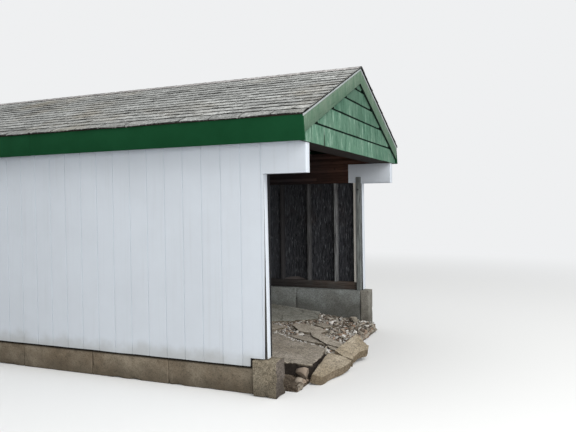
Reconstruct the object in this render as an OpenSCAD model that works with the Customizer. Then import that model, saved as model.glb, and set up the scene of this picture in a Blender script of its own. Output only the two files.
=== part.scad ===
// Boathouse, open at its lake end. The lake end faces -Y, +X is to the right of
// someone who looks in through the mouth, and +Z is up.
// The origin is at the middle of the footprint of the bounding box, at the foot
// of the foundation walls. Lengths along the building are measured from the plane
// of the lake gable's shingle butts, and set_out() moves them to the origin.

/* [Walls] */
// Width of the building over its siding
wall_width = 3224; // [2600:10:4200]
// Length of the side walls' siding
wall_length = 6096; // [4000:8:7200]
// Distance that the roof and the headers reach in front of the walls
mouth_overhang = 422; // [300:2:700]
// Thickness of the grooved siding
siding_t = 16; // [11:1:19]
// Centre distance of the siding's grooves
groove_pitch = 203.2; // [100:0.1:305]
// Width of a siding groove
groove_w = 10; // [6:1:14]
// Depth of a siding groove
groove_depth = 6; // [3:1:8]
// First groove's centre behind the siding's front edge
first_groove = 23; // [15:1:90]
// Length of siding that hangs below the top of the foundation
siding_drop = 76; // [40:1:120]
// Clearance round the notch of the left siding over the end block
notch_clearance = 3; // [1:1:8]

/* [Framing] */
// Thickness of studs, rafters and plates
lumber_t = 38; // [32:1:44]
// Depth of a wall stud
stud_d = 89; // [75:1:140]
// Centre distance of studs and rafters
stud_spacing = 406; // [300:1:610]
// First regular stud's front face behind the siding's edge
first_stud = 354; // [200:1:400]
// Front face of the second stud of the mouth's doubled end, behind the siding's edge
second_stud = 70; // [50:1:140]
// Height of one of the two sill timbers
sill_timber = 51; // [38:1:76]
// Underside of the headers above the base
header_bottom = 1996; // [1800:2:2300]
// Number of flat timbers in a header
header_plies = 11; // [6:1:12]
// Width of the saw cut look at each header joint
ply_joint = 4; // [2:1:6]
// Height that a door post laps over its header
post_lap = 77; // [40:1:120]
// Distance that a door post stands in front of the siding's edge
post_forward = 3; // [0:1:40]
// Depth of a door post, along the building
post_d = 64; // [38:1:89]
// Width of the tie board under the gable
tie_board_w = 235; // [140:1:286]
// Depth of the ceiling ties
ceiling_tie_d = 89; // [75:1:120]
// Number of ceiling ties, spread evenly along the rafters
tie_count = 3; // [1:1:6]
// Distance from the siding's inner face to a ceiling tie's end
tie_setback = 10; // [2:1:40]
// Least distance from a gable stud's middle to the wall studs' inner face
gable_stud_clear = 200; // [120:10:400]

/* [Roof] */
// Pitch of the roof in degrees, about 5 in 12
roof_pitch = 22.62; // [14:0.01:34]
// Distance that the roof deck passes the side walls' siding
eave_overhang = 138; // [70:2:600]
// Distance that the deck passes the face of the fascia
deck_lip = 2.5; // [1:0.5:10]
// Depth of a rafter, square to the slope
rafter_d = 140; // [110:1:184]
// Thickness of the ridge board
ridge_t = 19; // [16:1:38]
// Height of the ridge board
ridge_h = 184; // [170:1:235]
// Thickness of the roof deck
deck_t = 19; // [12:1:22]
// Shingle exposure on the roof
roof_exposure = 127; // [100:1:150]
// Thickness of a roof shingle course at its lower edge
roof_butt = 7; // [4:1:10]
// Thickness of a roof shingle course at its upper edge
roof_lap = 3; // [2:1:4]
// Distance that the roof shingles pass the deck's edges
roof_drip = 15; // [5:1:30]
// Width of each side of the ridge cap
cap_w = 150; // [100:1:200]
// Thickness of the ridge cap
cap_t = 6; // [3:1:10]

/* [Trim] */
// Thickness of fascia, rake and trim boards
board_t = 19; // [16:1:25]
// Underside of the gables and fascias above the headers' underside
gable_up = 252.5; // [200:0.5:300]
// Depth of the rake boards, square to the slope
rake_d = 150; // [90:1:184]
// Open joint between the two rake boards at the ridge
rake_joint = 2; // [1:1:4]
// Distance that the fascias' lower corners reach in front of the lake gable
fascia_reach = 33; // [22:1:33]
// Thickness of the gable sheathing
sheathing_t = 12; // [9:1:19]
// Thickness of a gable shingle at its lower edge
gable_butt = 10; // [6:1:14]
// Thickness of a gable shingle at its upper edge
gable_lap = 5; // [3:1:6]
// Exposure of the gable's upper shingle courses
gable_exposure = 150; // [120:5:200]
// Thickness of the soffit boards
soffit_t = 10; // [6:1:16]
// Height of the soffit above the fascia's lower edge
soffit_up = 10; // [5:1:30]
// Thickness of the painted panel inside the mouth
panel_t = 12; // [6:1:16]
// Length of the painted panel inside the mouth
panel_len = 573; // [400:1:800]
// Thickness of the boards on and under each header's end
header_skin_t = 10; // [6:1:16]
// Lean of the left end trim towards the lake, in degrees
trim_lean = 0.52; // [0.2:0.01:0.9]
// Lean of the right end trim towards the lake, in degrees
right_trim_lean = 0.3; // [0.1:0.01:0.9]
// Clearance over a leaning trim
trim_clearance = 0.6; // [0.5:0.1:1]
// Distance that the left siding's end is cut back at its foot
siding_cut = 10; // [4:1:14]
// Height at which that cut ends
siding_cut_top = 1330; // [900:10:1700]
// Height of the metal edge strip along the rakes, square to the slope
edge_strip_h = 35; // [24:1:50]
// Thickness of the metal edge strip
edge_strip_t = 3; // [2:0.5:5]
// Width of the corner boards at the rear
corner_board_w = 89; // [60:1:140]

/* [Foundation] */
// Thickness of the foundation walls
stem_t = 194; // [150:1:240]
// Height of the left foundation wall
left_stem_h = 330; // [300:2:400]
// Height of the right and rear foundation walls
right_stem_h = 530; // [480:2:600]
// Centre distance of the joints in the foundation walls
stem_joint_pitch = 957; // [400:1:1200]
// Width and depth of a foundation joint
stem_joint = 6; // [3:1:10]
// Length of the left end block
left_block_len = 240; // [190:1:300]
// Distance that the left end block stands outside the framing
left_block_out = 54; // [30:1:70]
// Left end block's front face in front of the siding's edge
left_block_front = 126; // [100:1:160]
// Height of the chip along the left block's outer top edge
block_chip = 22; // [5:1:40]
// Length of the right end block
right_block_len = 123; // [100:1:200]
// Height of the right end block above its foundation wall
right_block_up = 8; // [0:1:40]
// Joint between the end blocks and what is behind them
block_joint = 3; // [1:1:6]

/* [Floor] */
// Thickness of the concrete floor
slab_t = 100; // [60:1:110]
// Height of the floor's surface inside
floor_h = 330; // [280:1:400]
// Distance from the gable plane to the top of the ramp
ramp_len = 2150; // [2000:2:2600]
// Fall of the ramp for each metre
ramp_fall = 97.5; // [60:0.5:105]
// Front of the fill under the floor, behind the gable plane
fill_front = 206; // [180:1:216]
// Depth of the hollow under the ramp's front edge
hollow_depth = 170; // [60:5:260]
// Depth of the rubble's surface below the floor's
rubble_down = 20; // [10:1:50]
// Thickness of the fallen pieces of slab
fragment_t = 85; // [50:1:90]
// Distance from the right foundation wall to the first corner of the floor's broken edge
floor_corner_in = 432; // [250:2:600]
// Gap between the fallen pieces and the fill
fragment_gap = 0.3; // [0.2:0.1:0.8]
// Distance from the left foundation wall to the middle of the near fallen piece
near_fragment_in = 562; // [400:2:800]
// Distance between the middles of the two fallen pieces
fragment_spacing = 640; // [620:5:900]

/* [Hidden] */

// Colours of the finishes
white_paint = [0.90, 0.91, 0.93];
dark_green = [0.07, 0.30, 0.17];
worn_green = [0.30, 0.52, 0.40];
asphalt = [0.48, 0.47, 0.43];
raw_wood = [0.47, 0.40, 0.33];
brown_wood = [0.34, 0.20, 0.14];
concrete = [0.56, 0.55, 0.51];
gravel = [0.45, 0.42, 0.38];
edge_metal = [0.70, 0.72, 0.71];

// Across the building
siding_half = wall_width / 2;
eave_half = siding_half + eave_overhang;
frame_half = siding_half - siding_t;
stud_in = frame_half - stud_d;
stem_in = frame_half - stem_t;
fascia_out = eave_half - deck_lip;
fascia_in = fascia_out - board_t;

// Along the building, from the plane of the lake gable's shingle butts
wall_front = mouth_overhang;
wall_rear = wall_front + wall_length;
gable_back = gable_butt + sheathing_t;
rear_gable_face = wall_rear + sheathing_t + gable_butt;
rake_front = -board_t;
rake_rear = rear_gable_face + board_t;
roof_front = rake_front - roof_drip;
roof_rear = rake_rear + roof_drip;
stem_rear = wall_rear - stem_t;

// Heights
sill_h = 2 * sill_timber;
header_top = header_bottom + header_plies * lumber_t;
gable_bottom = header_bottom + gable_up;
slope = tan(roof_pitch);
rafter_drop = rafter_d / cos(roof_pitch);
tie_board_top = gable_bottom + lumber_t;
header_skin_bottom = header_bottom - header_skin_t;
right_block_h = right_stem_h + right_block_up;
stem_foot = right_stem_h - siding_drop;
left_stem_foot = left_stem_h - siding_drop;

// Undersides of the rafters and of the deck, and the deck's top, at a distance from the ridge
function rafter_low(x) = header_top + (stud_in - x) * slope;
function rafter_high(x) = rafter_low(x) + rafter_drop;
function deck_high(x) = rafter_high(x) + deck_t / cos(roof_pitch);
siding_top = rafter_low(siding_half) - 1;
ridge_top = rafter_high(ridge_t / 2);
ridge_bottom = ridge_top - ridge_h;

// Lower edges of the gable's shingle courses above the gable's underside: three deeper courses,
// and then even ones to the ridge
gable_h = rafter_high(0) - gable_bottom;
course_ups = concat([0, 191, 386], [for (k = [0 : ceil(gable_h / gable_exposure)]) 561 + k * gable_exposure]);

// Front of a wall's framing: the left end trim stands in front of it, inside the siding's end
function frame_front(side) = wall_front + (side < 0 ? board_t : 0);

// Stations of the regular studs and of the rafters
function stations(from, to) = [for (y = [from : stud_spacing : to]) y];
side_stations = stations(wall_front + first_stud, stem_rear - 2 * lumber_t);
rafter_stations = concat(stations(gable_back, wall_rear - 3 * lumber_t), [wall_rear - lumber_t]);
gable_stud_steps = [for (k = [1 : 8]) if (k * stud_spacing < stud_in - gable_stud_clear) k * stud_spacing];

// Broken edges of the floor, from the right wall to the left one
floor_break = [[stem_in, 996], [stem_in - floor_corner_in, 872], [600, 1124], [100, 1700], [-500, 2060],
               [-stem_in, 2246]];
ramp_break = [[-stem_in, 1966], [-600, 1726], [-60, 960], [-195, 683], [-230, 449], [-365, 302],
              [-460, 269], [-973, 221], [-1075, 530], [-stem_in, 780]];

// Outline of the rubble between the two broken slabs, out to the fill's front
rubble_plan = concat(floor_break, [for (k = [0 : 6]) ramp_break[k]],
                     [[-640, 252], [-640, fill_front], [stem_in, fill_front]]);

// Outlines of the two fallen pieces about their own middles
near_fragment = [[255, 115], [315, -30], [285, -130], [120, -115], [-20, -75], [-100, -48],
                 [-210, -35], [-292, -15], [-315, 85], [-70, 108]];
far_fragment = [[-180, 110], [170, 40], [303, 10], [170, -135], [146, -180], [68, -191],
                [-40, -124], [-180, -95], [-232, -113], [-225, 6]];
near_pitch = 17;
far_pitch = 17;

// Distance from a fallen piece's middle to its edge against the fill
function piece_inner(plan, pitched) =
    max([for (p = plan) p[1]]) * cos(pitched) + fragment_t * sin(pitched);

// Station of a fallen piece's outermost edge
function piece_front(plan, pitched) =
    fill_front - fragment_gap - piece_inner(plan, pitched) + min([for (p = plan) p[1]]) * cos(pitched);

// Middle of the bounding box, along the building
front = min(roof_front, piece_front(near_fragment, near_pitch), piece_front(far_fragment, far_pitch));
middle = (front + roof_rear) / 2;

// Moves what is measured from the gable plane to the part's origin
module set_out() { translate([0, -middle, 0]) children(); }

// Draws children, which are made for the right side, on the right (1) or left (-1) side
module on_side(side) { mirror([side < 0 ? 1 : 0, 0, 0]) children(); }

// Extrudes an outline of x and z from one station to another
module along_y(from, to) {
    translate([0, to, 0]) rotate([90, 0, 0]) linear_extrude(to - from) children();
}

// Extrudes an outline of y and z from one x to another
module along_x(from, to) {
    translate([from, 0, 0]) rotate([90, 0, 90]) linear_extrude(to - from) children();
}

// A box between two corners
module block(low, high) { translate(low) cube(high - low); }

// Foundation wall along one side, with its vertical joints on the inner face
module side_stem(side, height) {
    front = wall_front + (side < 0 ? left_block_len - left_block_front : 0);
    set_out() on_side(side) difference() {
        block([stem_in, front, 0], [frame_half, stem_rear, height]);
        for (y = [wall_front + stem_joint_pitch : stem_joint_pitch : stem_rear - stem_joint_pitch / 2])
            block([stem_in - 1, y, -1], [stem_in + stem_joint, y + stem_joint, height + 1]);
    }
}

module stem_wall_left() { color(concrete) side_stem(-1, left_stem_h); }

module stem_wall_right() { color(concrete) side_stem(1, right_stem_h); }

module stem_wall_rear() {
    color(concrete) set_out()
        block([-frame_half, stem_rear, 0], [frame_half, wall_rear, right_stem_h]);
}

// The left block stands outside the wall's line and has a chipped outer top edge
module left_end_block() {
    front = wall_front - left_block_front;
    outer = frame_half + left_block_out;
    on_side(-1) difference() {
        block([outer - stem_t, front, 0], [outer, front + left_block_len, left_stem_h]);
        translate([outer, front + left_block_len / 2, left_stem_h + left_block_len])
            rotate([0, 90, 0])
                cylinder(h = 2 * (outer - siding_half), r = left_block_len + block_chip,
                         center = true, $fn = 96);
    }
}

module right_end_block() {
    rear = wall_front - block_joint;
    block([stem_in, rear - right_block_len, 0], [frame_half, rear, right_block_h]);
}

module end_blocks() {
    color(concrete) set_out() {
        left_end_block();
        right_end_block();
    }
}

// Height of the floor's surface at a station
function floor_at(y) = min(floor_h, floor_h - (ramp_len - y) * ramp_fall / 1000);

// Outline of y and z between a lower and an upper surface that follow the ramp
module ramp_profile(front, rear, top_down) {
    polygon([[front, 0], [rear, 0], [rear, floor_h - top_down], [ramp_len, floor_h - top_down],
             [front, floor_at(front) - top_down]]);
}

// Fill under the floor, with a hollow under the ramp's front edge and a strip of rubble that
// rises between the two broken slabs
module fill_bed() {
    color(gravel) set_out() {
        difference() {
            along_x(-stem_in, stem_in) ramp_profile(fill_front, stem_rear, slab_t);
            block([-1250, fill_front - 1, -1], [-935, fill_front + hollow_depth, floor_h]);
        }
        intersection() {
            linear_extrude(floor_h) polygon(rubble_plan);
            along_x(-stem_in, stem_in) ramp_profile(fill_front, stem_rear, rubble_down);
        }
    }
}

// A slab of the floor's thickness on the ramp, inside a plan outline
module slab(plan) {
    intersection() {
        linear_extrude(floor_h + 1) polygon(plan);
        along_x(-frame_half, frame_half) difference() {
            ramp_profile(fill_front, stem_rear, 0);
            ramp_profile(fill_front - 1, stem_rear + 1, slab_t);
        }
    }
}

module floor_slab() {
    color(concrete) set_out()
        slab(concat(floor_break, [[-stem_in, stem_rear], [stem_in, stem_rear]]));
}

module ramp_slab() { color(concrete) set_out() slab(ramp_break); }

// A broken piece of slab, pitched and rolled, with its lowest corner on the ground and its
// inner edge against the fill
module tipped_piece(plan, x, pitched, rolled) {
    low = min([for (p = plan) p[0] * sin(rolled)
               + (p[1] * sin(pitched) - fragment_t * cos(pitched)) * cos(rolled)]);
    inner = piece_inner(plan, pitched);
    translate([x, fill_front - fragment_gap - inner, -low]) rotate([pitched, -rolled, 0])
        translate([0, 0, -fragment_t]) linear_extrude(fragment_t) polygon(plan);
}

// Two broken pieces of slab that lie in the mouth, tipped towards the lake
module slab_fragments() {
    color(concrete) set_out() {
        tipped_piece(near_fragment, near_fragment_in - stem_in, near_pitch, 6);
        tipped_piece(far_fragment, near_fragment_in + fragment_spacing - stem_in, far_pitch, 14);
    }
}

module side_sill(side, base, rear) {
    set_out() on_side(side) difference() {
        block([stud_in, frame_front(side), base], [frame_half, rear, base + sill_h]);
        block([stud_in - 1, wall_front - 1, base + sill_timber - ply_joint / 2],
              [stud_in + ply_joint, rear + 1, base + sill_timber + ply_joint / 2]);
    }
}

module sill_left() { color(brown_wood) side_sill(-1, left_stem_h, stem_rear); }

module sill_right() { color(brown_wood) side_sill(1, right_stem_h, wall_rear - stud_d); }

module sill_rear() {
    color(brown_wood) set_out() difference() {
        block([-frame_half, wall_rear - stud_d, right_stem_h],
              [frame_half, wall_rear, right_stem_h + sill_h]);
        block([-stud_in, wall_rear - stud_d - 1, right_stem_h + sill_timber - ply_joint / 2],
              [stud_in, wall_rear - stud_d + ply_joint, right_stem_h + sill_timber + ply_joint / 2]);
    }
}

module side_studs(side, base, rear) {
    ys = concat([frame_front(side), wall_front + second_stud], side_stations, [rear - lumber_t]);
    set_out() on_side(side) for (y = ys)
        block([stud_in, y, base + sill_h], [frame_half, y + lumber_t, header_bottom]);
}

module studs_left() { color(raw_wood) side_studs(-1, left_stem_h, stem_rear); }

module studs_right() { color(raw_wood) side_studs(1, right_stem_h, wall_rear - stud_d); }

// Rear wall studs, with a square post under each header
module studs_rear() {
    foot = right_stem_h + sill_h;
    plate_low = header_top - 2 * lumber_t;
    color(raw_wood) set_out() {
        for (side = [-1, 1]) on_side(side)
            block([stud_in, wall_rear - stud_d, foot], [frame_half, wall_rear, header_bottom]);
        for (k = [-3 : 3]) if (abs(k) * stud_spacing < stud_in - 2 * lumber_t)
            translate([k * stud_spacing, 0, 0])
                block([-lumber_t / 2, wall_rear - stud_d, foot],
                      [lumber_t / 2, wall_rear, plate_low]);
    }
}

// A header of flat timbers, with a shallow groove at each joint of its two faces
module header(side) {
    set_out() on_side(side) difference() {
        block([stud_in, gable_back, header_bottom], [frame_half, wall_rear, header_top]);
        for (k = [1 : header_plies - 1])
            translate([0, 0, header_bottom + k * lumber_t - ply_joint / 2])
                block([stud_in - 1, gable_back - 1, 0], [stud_in + ply_joint, wall_rear + 1, ply_joint]);
    }
}

module header_left() { color(brown_wood) header(-1); }

module header_right() { color(brown_wood) header(1); }

module rear_plates() {
    color(raw_wood) set_out()
        block([-stud_in, wall_rear - stud_d, header_top - 2 * lumber_t],
              [stud_in, wall_rear, header_top]);
}

// Plan of a grooved sheet along one side, on the right
module side_siding_plan() {
    difference() {
        translate([frame_half, wall_front]) square([siding_t, wall_length]);
        for (y = [wall_front + first_groove : groove_pitch : wall_rear - groove_w])
            translate([siding_half - groove_depth, y - groove_w / 2]) square([groove_depth + 1, groove_w]);
    }
}

module side_siding(side, foot) {
    set_out() on_side(side) translate([0, 0, foot]) linear_extrude(siding_top - foot) side_siding_plan();
}

// The left siding is notched over the end block, and its end is cut back towards the foot
module siding_left() {
    notch_rear = wall_front - left_block_front + left_block_len + notch_clearance;
    color(white_paint) difference() {
        side_siding(-1, left_stem_foot);
        set_out() on_side(-1)
            block([frame_half - 1, wall_front - 1, left_stem_foot - 1],
                  [siding_half + 1, notch_rear, left_stem_h + notch_clearance]);
        set_out() on_side(-1) along_x(frame_half - 1, siding_half + 1)
            polygon([[wall_front - 1, left_stem_foot], [wall_front + siding_cut, left_stem_foot],
                     [wall_front, siding_cut_top], [wall_front - 1, siding_cut_top]]);
    }
}

module siding_right() { color(white_paint) side_siding(1, stem_foot); }

module siding_rear() {
    color(white_paint) set_out() translate([0, 0, stem_foot])
        linear_extrude(gable_bottom - stem_foot) difference() {
            translate([-siding_half, wall_rear]) square([wall_width, siding_t]);
            for (x = [-siding_half + first_groove + corner_board_w : groove_pitch :
                      siding_half - corner_board_w - groove_w])
                translate([x - groove_w / 2, wall_rear + siding_t - groove_depth])
                    square([groove_w, groove_depth + 1]);
        }
}

// Plain siding on the outside of each header's front end
module header_cladding() {
    color(white_paint) set_out() for (side = [-1, 1]) on_side(side)
        block([frame_half, gable_back, header_bottom], [siding_half, wall_front, siding_top]);
}

// Board on each header's end and under it, joined at the corner. The left one leaves the header's
// inner edge bare, and the right one covers the end of the inner panel.
module header_end_boards() {
    front = gable_back - header_skin_t;
    color(white_paint) set_out() for (side = [-1, 1]) on_side(side) {
        inner = side < 0 ? siding_half - stud_d : stud_in - panel_t;
        block([inner, front, header_skin_bottom], [siding_half, gable_back, gable_bottom]);
        block([max(inner, stud_in), front, header_skin_bottom],
              [siding_half, wall_front, header_bottom]);
    }
}

// Painted panel on the right header's inner face, cut out round the door post
module inner_panel() {
    post_y = wall_front - post_forward;
    color(white_paint) set_out() difference() {
        block([stud_in - panel_t, gable_back, header_bottom],
              [stud_in, gable_back + panel_len, gable_bottom]);
        block([stud_in - panel_t - 1, post_y, header_bottom - 1],
              [stud_in + 1, post_y + post_d, header_bottom + post_lap]);
    }
}

// Board at the end of one wall, from inner to the framing's outer face, with its back at a station
// at the top and leaning forward towards the foot
module end_trim(side, foot, inner, back, lean) {
    height = (header_skin_bottom - trim_clearance - foot) / cos(lean);
    on_side(side) translate([inner, back, header_skin_bottom - trim_clearance])
        rotate([-lean, 0, 0]) translate([0, -board_t, -height])
            cube([frame_half - inner, board_t, height]);
}

// The left trim is let in beside the siding's edge, and the right one covers the framing's end
module end_trims() {
    color(white_paint) set_out() {
        end_trim(-1, left_stem_h, siding_half - stud_d, wall_front + board_t, trim_lean);
        end_trim(1, right_block_h, stud_in, wall_front, right_trim_lean);
    }
}

// Posts flat against the inner faces of the walls' ends, standing on the foundation
module door_post(side, foot) {
    post_y = wall_front - post_forward;
    on_side(side) block([stud_in - lumber_t, post_y, foot],
                        [stud_in, post_y + post_d, header_bottom + post_lap]);
}

module door_posts() {
    color(raw_wood) set_out() {
        door_post(-1, left_stem_h);
        door_post(1, right_stem_h);
    }
}

module corner_boards() {
    face = wall_rear + siding_t;
    color(white_paint) set_out() for (side = [-1, 1]) on_side(side)
        block([siding_half - corner_board_w, face, stem_foot],
              [siding_half, face + board_t, gable_bottom]);
}

// Flat board under the gable, and the lintel on edge above it, between the headers
module tie_board() {
    color(brown_wood) set_out()
        block([-stud_in, gable_back, gable_bottom], [stud_in, gable_back + tie_board_w, tie_board_top]);
}

module lintel() {
    color(brown_wood) set_out()
        block([-stud_in, gable_back, tie_board_top], [stud_in, gable_back + lumber_t, header_top]);
}

// Short studs of one gable, cut to the rafters, with a taller one under the ridge board
module gable_stud_row(y) {
    half = stud_d / 2;
    along_y(y, y + lumber_t) {
        translate([-half, header_top]) square([stud_d, ridge_bottom - header_top]);
        for (side = [-1, 1]) for (x = gable_stud_steps)
            polygon([[side * (x - half), header_top], [side * (x + half), header_top],
                     [side * (x + half), rafter_low(x + half)],
                     [side * (x - half), rafter_low(x - half)]]);
    }
}

module gable_studs() {
    color(raw_wood) set_out() {
        gable_stud_row(gable_back);
        gable_stud_row(wall_rear - lumber_t);
    }
}

// Outline of x and z of a gable, up to the deck's underside
module gable_outline() {
    polygon([[-fascia_in, gable_bottom], [fascia_in, gable_bottom],
             [fascia_in, rafter_high(fascia_in)], [0, rafter_high(0)],
             [-fascia_in, rafter_high(fascia_in)]]);
}

module gable_sheathing() {
    color(raw_wood) set_out() {
        along_y(gable_butt, gable_back) gable_outline();
        along_y(wall_rear, wall_rear + sheathing_t) gable_outline();
    }
}

// Stepped outline of depth and z of the gable's shingle courses, butts at depth 0
module course_outline() {
    last = len(course_ups) - 1;
    steps = [for (k = [0 : last - 1]) each [[0, gable_bottom + course_ups[k]],
             [gable_butt - gable_lap, gable_bottom + course_ups[k + 1]]]];
    polygon(concat([[gable_butt, gable_bottom]], steps, [[gable_butt, gable_bottom + course_ups[last]]]));
}

module gable_courses() {
    intersection() {
        along_x(-fascia_in, fascia_in) course_outline();
        along_y(-1, gable_butt + 1) gable_outline();
    }
}

module gable_shingles_front() { color(worn_green) set_out() gable_courses(); }

module gable_shingles_rear() {
    color(worn_green) set_out() translate([0, rear_gable_face, 0]) mirror([0, 1, 0]) gable_courses();
}

// Rafter with a seat cut over the header and a plumb cut at each end
module rafter_outline() {
    polygon([[ridge_t / 2, rafter_high(ridge_t / 2)], [fascia_in, rafter_high(fascia_in)],
             [fascia_in, rafter_low(fascia_in)], [frame_half, rafter_low(frame_half)],
             [frame_half, header_top], [stud_in, header_top], [ridge_t / 2, rafter_low(ridge_t / 2)]]);
}

module rafters() {
    color(raw_wood) set_out() for (side = [-1, 1]) on_side(side)
        for (y = rafter_stations) along_y(y, y + lumber_t) rafter_outline();
}

module ridge_board() {
    color(raw_wood) set_out()
        block([-ridge_t / 2, gable_back, ridge_bottom], [ridge_t / 2, wall_rear, ridge_top]);
}

module ceiling_ties() {
    reach = frame_half - tie_setback;
    last = len(rafter_stations) - 1;
    color(raw_wood) set_out() for (k = [1 : tie_count]) {
        rafter_y = rafter_stations[round(k * last / (tie_count + 1))];
        block([-reach, rafter_y + lumber_t, header_top],
              [reach, rafter_y + 2 * lumber_t, header_top + ceiling_tie_d]);
    }
}

module roof_deck(side) {
    set_out() on_side(side) along_y(rake_front, rake_rear)
        polygon([[0, rafter_high(0)], [eave_half, rafter_high(eave_half)],
                 [eave_half, deck_high(eave_half)], [0, deck_high(0)]]);
}

module roof_deck_left() { color(raw_wood) roof_deck(-1); }

module roof_deck_right() { color(raw_wood) roof_deck(1); }

// Stepped courses on one slope, drawn along the slope from the eave and turned to it
module roof_courses(side) {
    edge = eave_half + roof_drip;
    run = edge / cos(roof_pitch);
    count = ceil(run / roof_exposure);
    steps = [for (k = [0 : count - 1]) each [[k * roof_exposure, roof_butt],
             [min(run, (k + 1) * roof_exposure), roof_lap]]];
    set_out() on_side(side) along_y(roof_front, roof_rear)
        translate([edge, deck_high(edge)]) mirror([1, 0]) rotate(roof_pitch)
            polygon(concat([[0, 0]], steps, [[run, 0]]));
}

module roof_shingles_left() { color(asphalt) roof_courses(-1); }

module roof_shingles_right() { color(asphalt) roof_courses(1); }

// Folded cap on the ridge, lying on the shingles' lower edges
module ridge_cap() {
    low = deck_high(0) + roof_butt / cos(roof_pitch);
    high = low + cap_t / cos(roof_pitch);
    reach = cap_w * cos(roof_pitch);
    fall = cap_w * sin(roof_pitch);
    color(asphalt) set_out() along_y(roof_front, roof_rear)
        polygon([[0, high], [reach, high - fall], [reach, low - fall], [0, low],
                 [-reach, low - fall], [-reach, high - fall]]);
}

// Board along one eave, past the ends of the rake boards, with a slanting cut at the lake end
module fascia(side) {
    top = rafter_high(fascia_in) + 1;
    cut_top = deck_high(fascia_out) - edge_strip_h / cos(roof_pitch) - 2;
    set_out() intersection() {
        on_side(side) along_y(-fascia_reach, rake_rear)
            polygon([[fascia_in, gable_bottom], [fascia_out, gable_bottom],
                     [fascia_out, rafter_high(fascia_out)], [fascia_in, rafter_high(fascia_in)]]);
        along_x(-eave_half, eave_half)
            polygon([[rake_front, top], [rake_front, cut_top], [-fascia_reach, gable_bottom],
                     [rake_rear, gable_bottom], [rake_rear, top]]);
    }
}

module fascia_left() { color(dark_green) fascia(-1); }

module fascia_right() { color(dark_green) fascia(1); }

// Boards along the roof's two edges at one gable, between the fascias, with a joint at the ridge
module rake_boards(from) {
    start = rake_joint / 2;
    depth = rake_d / cos(roof_pitch);
    set_out() for (side = [-1, 1]) on_side(side) along_y(from, from + board_t)
        polygon([[start, rafter_high(start)], [fascia_in, rafter_high(fascia_in)],
                 [fascia_in, rafter_high(fascia_in) - depth], [start, rafter_high(start) - depth]]);
}

module rake_boards_front() { color(worn_green) rake_boards(rake_front); }

module rake_boards_rear() { color(worn_green) rake_boards(rear_gable_face); }

// Metal strips over the ends of the deck and the upper edges of the rake boards
module edge_strip_pair(from) {
    start = rake_joint / 2;
    depth = edge_strip_h / cos(roof_pitch);
    for (side = [-1, 1]) on_side(side) along_y(from, from + edge_strip_t)
        polygon([[start, deck_high(start)], [eave_half, deck_high(eave_half)],
                 [eave_half, deck_high(eave_half) - depth], [start, deck_high(start) - depth]]);
}

module edge_strips() {
    color(edge_metal) set_out() {
        edge_strip_pair(rake_front - edge_strip_t);
        edge_strip_pair(rake_rear);
    }
}

// Level boards that close the eaves between the walls and the fascias
module soffits() {
    base = gable_bottom + soffit_up;
    color(white_paint) set_out() for (side = [-1, 1]) on_side(side)
        block([siding_half, gable_back, base], [fascia_in, wall_rear, base + soffit_t]);
}

stem_wall_left();
stem_wall_right();
stem_wall_rear();
end_blocks();
fill_bed();
floor_slab();
ramp_slab();
slab_fragments();
sill_left();
sill_right();
sill_rear();
studs_left();
studs_right();
studs_rear();
header_left();
header_right();
rear_plates();
siding_left();
siding_right();
siding_rear();
header_cladding();
header_end_boards();
inner_panel();
end_trims();
door_posts();
corner_boards();
tie_board();
lintel();
gable_studs();
gable_sheathing();
gable_shingles_front();
gable_shingles_rear();
rafters();
ridge_board();
ceiling_ties();
roof_deck_left();
roof_deck_right();
roof_shingles_left();
roof_shingles_right();
ridge_cap();
fascia_left();
fascia_right();
rake_boards_front();
rake_boards_rear();
edge_strips();
soffits();
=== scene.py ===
import math

import bmesh
import bpy
import numpy as np
from mathutils import Matrix, Vector


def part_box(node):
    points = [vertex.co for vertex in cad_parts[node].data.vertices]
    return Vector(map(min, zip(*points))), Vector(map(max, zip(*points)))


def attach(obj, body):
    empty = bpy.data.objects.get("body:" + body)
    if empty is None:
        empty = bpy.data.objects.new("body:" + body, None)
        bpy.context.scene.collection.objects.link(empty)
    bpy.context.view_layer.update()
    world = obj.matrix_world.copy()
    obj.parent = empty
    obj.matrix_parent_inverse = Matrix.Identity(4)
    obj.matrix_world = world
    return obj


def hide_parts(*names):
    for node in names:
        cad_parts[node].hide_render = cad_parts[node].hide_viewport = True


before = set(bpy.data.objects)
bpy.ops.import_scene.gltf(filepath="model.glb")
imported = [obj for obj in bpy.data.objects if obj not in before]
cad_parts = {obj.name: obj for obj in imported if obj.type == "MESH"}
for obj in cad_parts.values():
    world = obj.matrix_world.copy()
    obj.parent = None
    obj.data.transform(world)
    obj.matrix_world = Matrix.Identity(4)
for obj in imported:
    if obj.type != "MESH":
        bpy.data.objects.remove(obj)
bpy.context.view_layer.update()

# Foundation walls: concrete cast in place in lengths of about 0.92 m, 194 mm thick and worn at
# the edges. The right and rear walls stand 200 mm higher than the left one. An end block closes
# each side wall at the lake, and the left block is older, stands proud and has a dished top.


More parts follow.
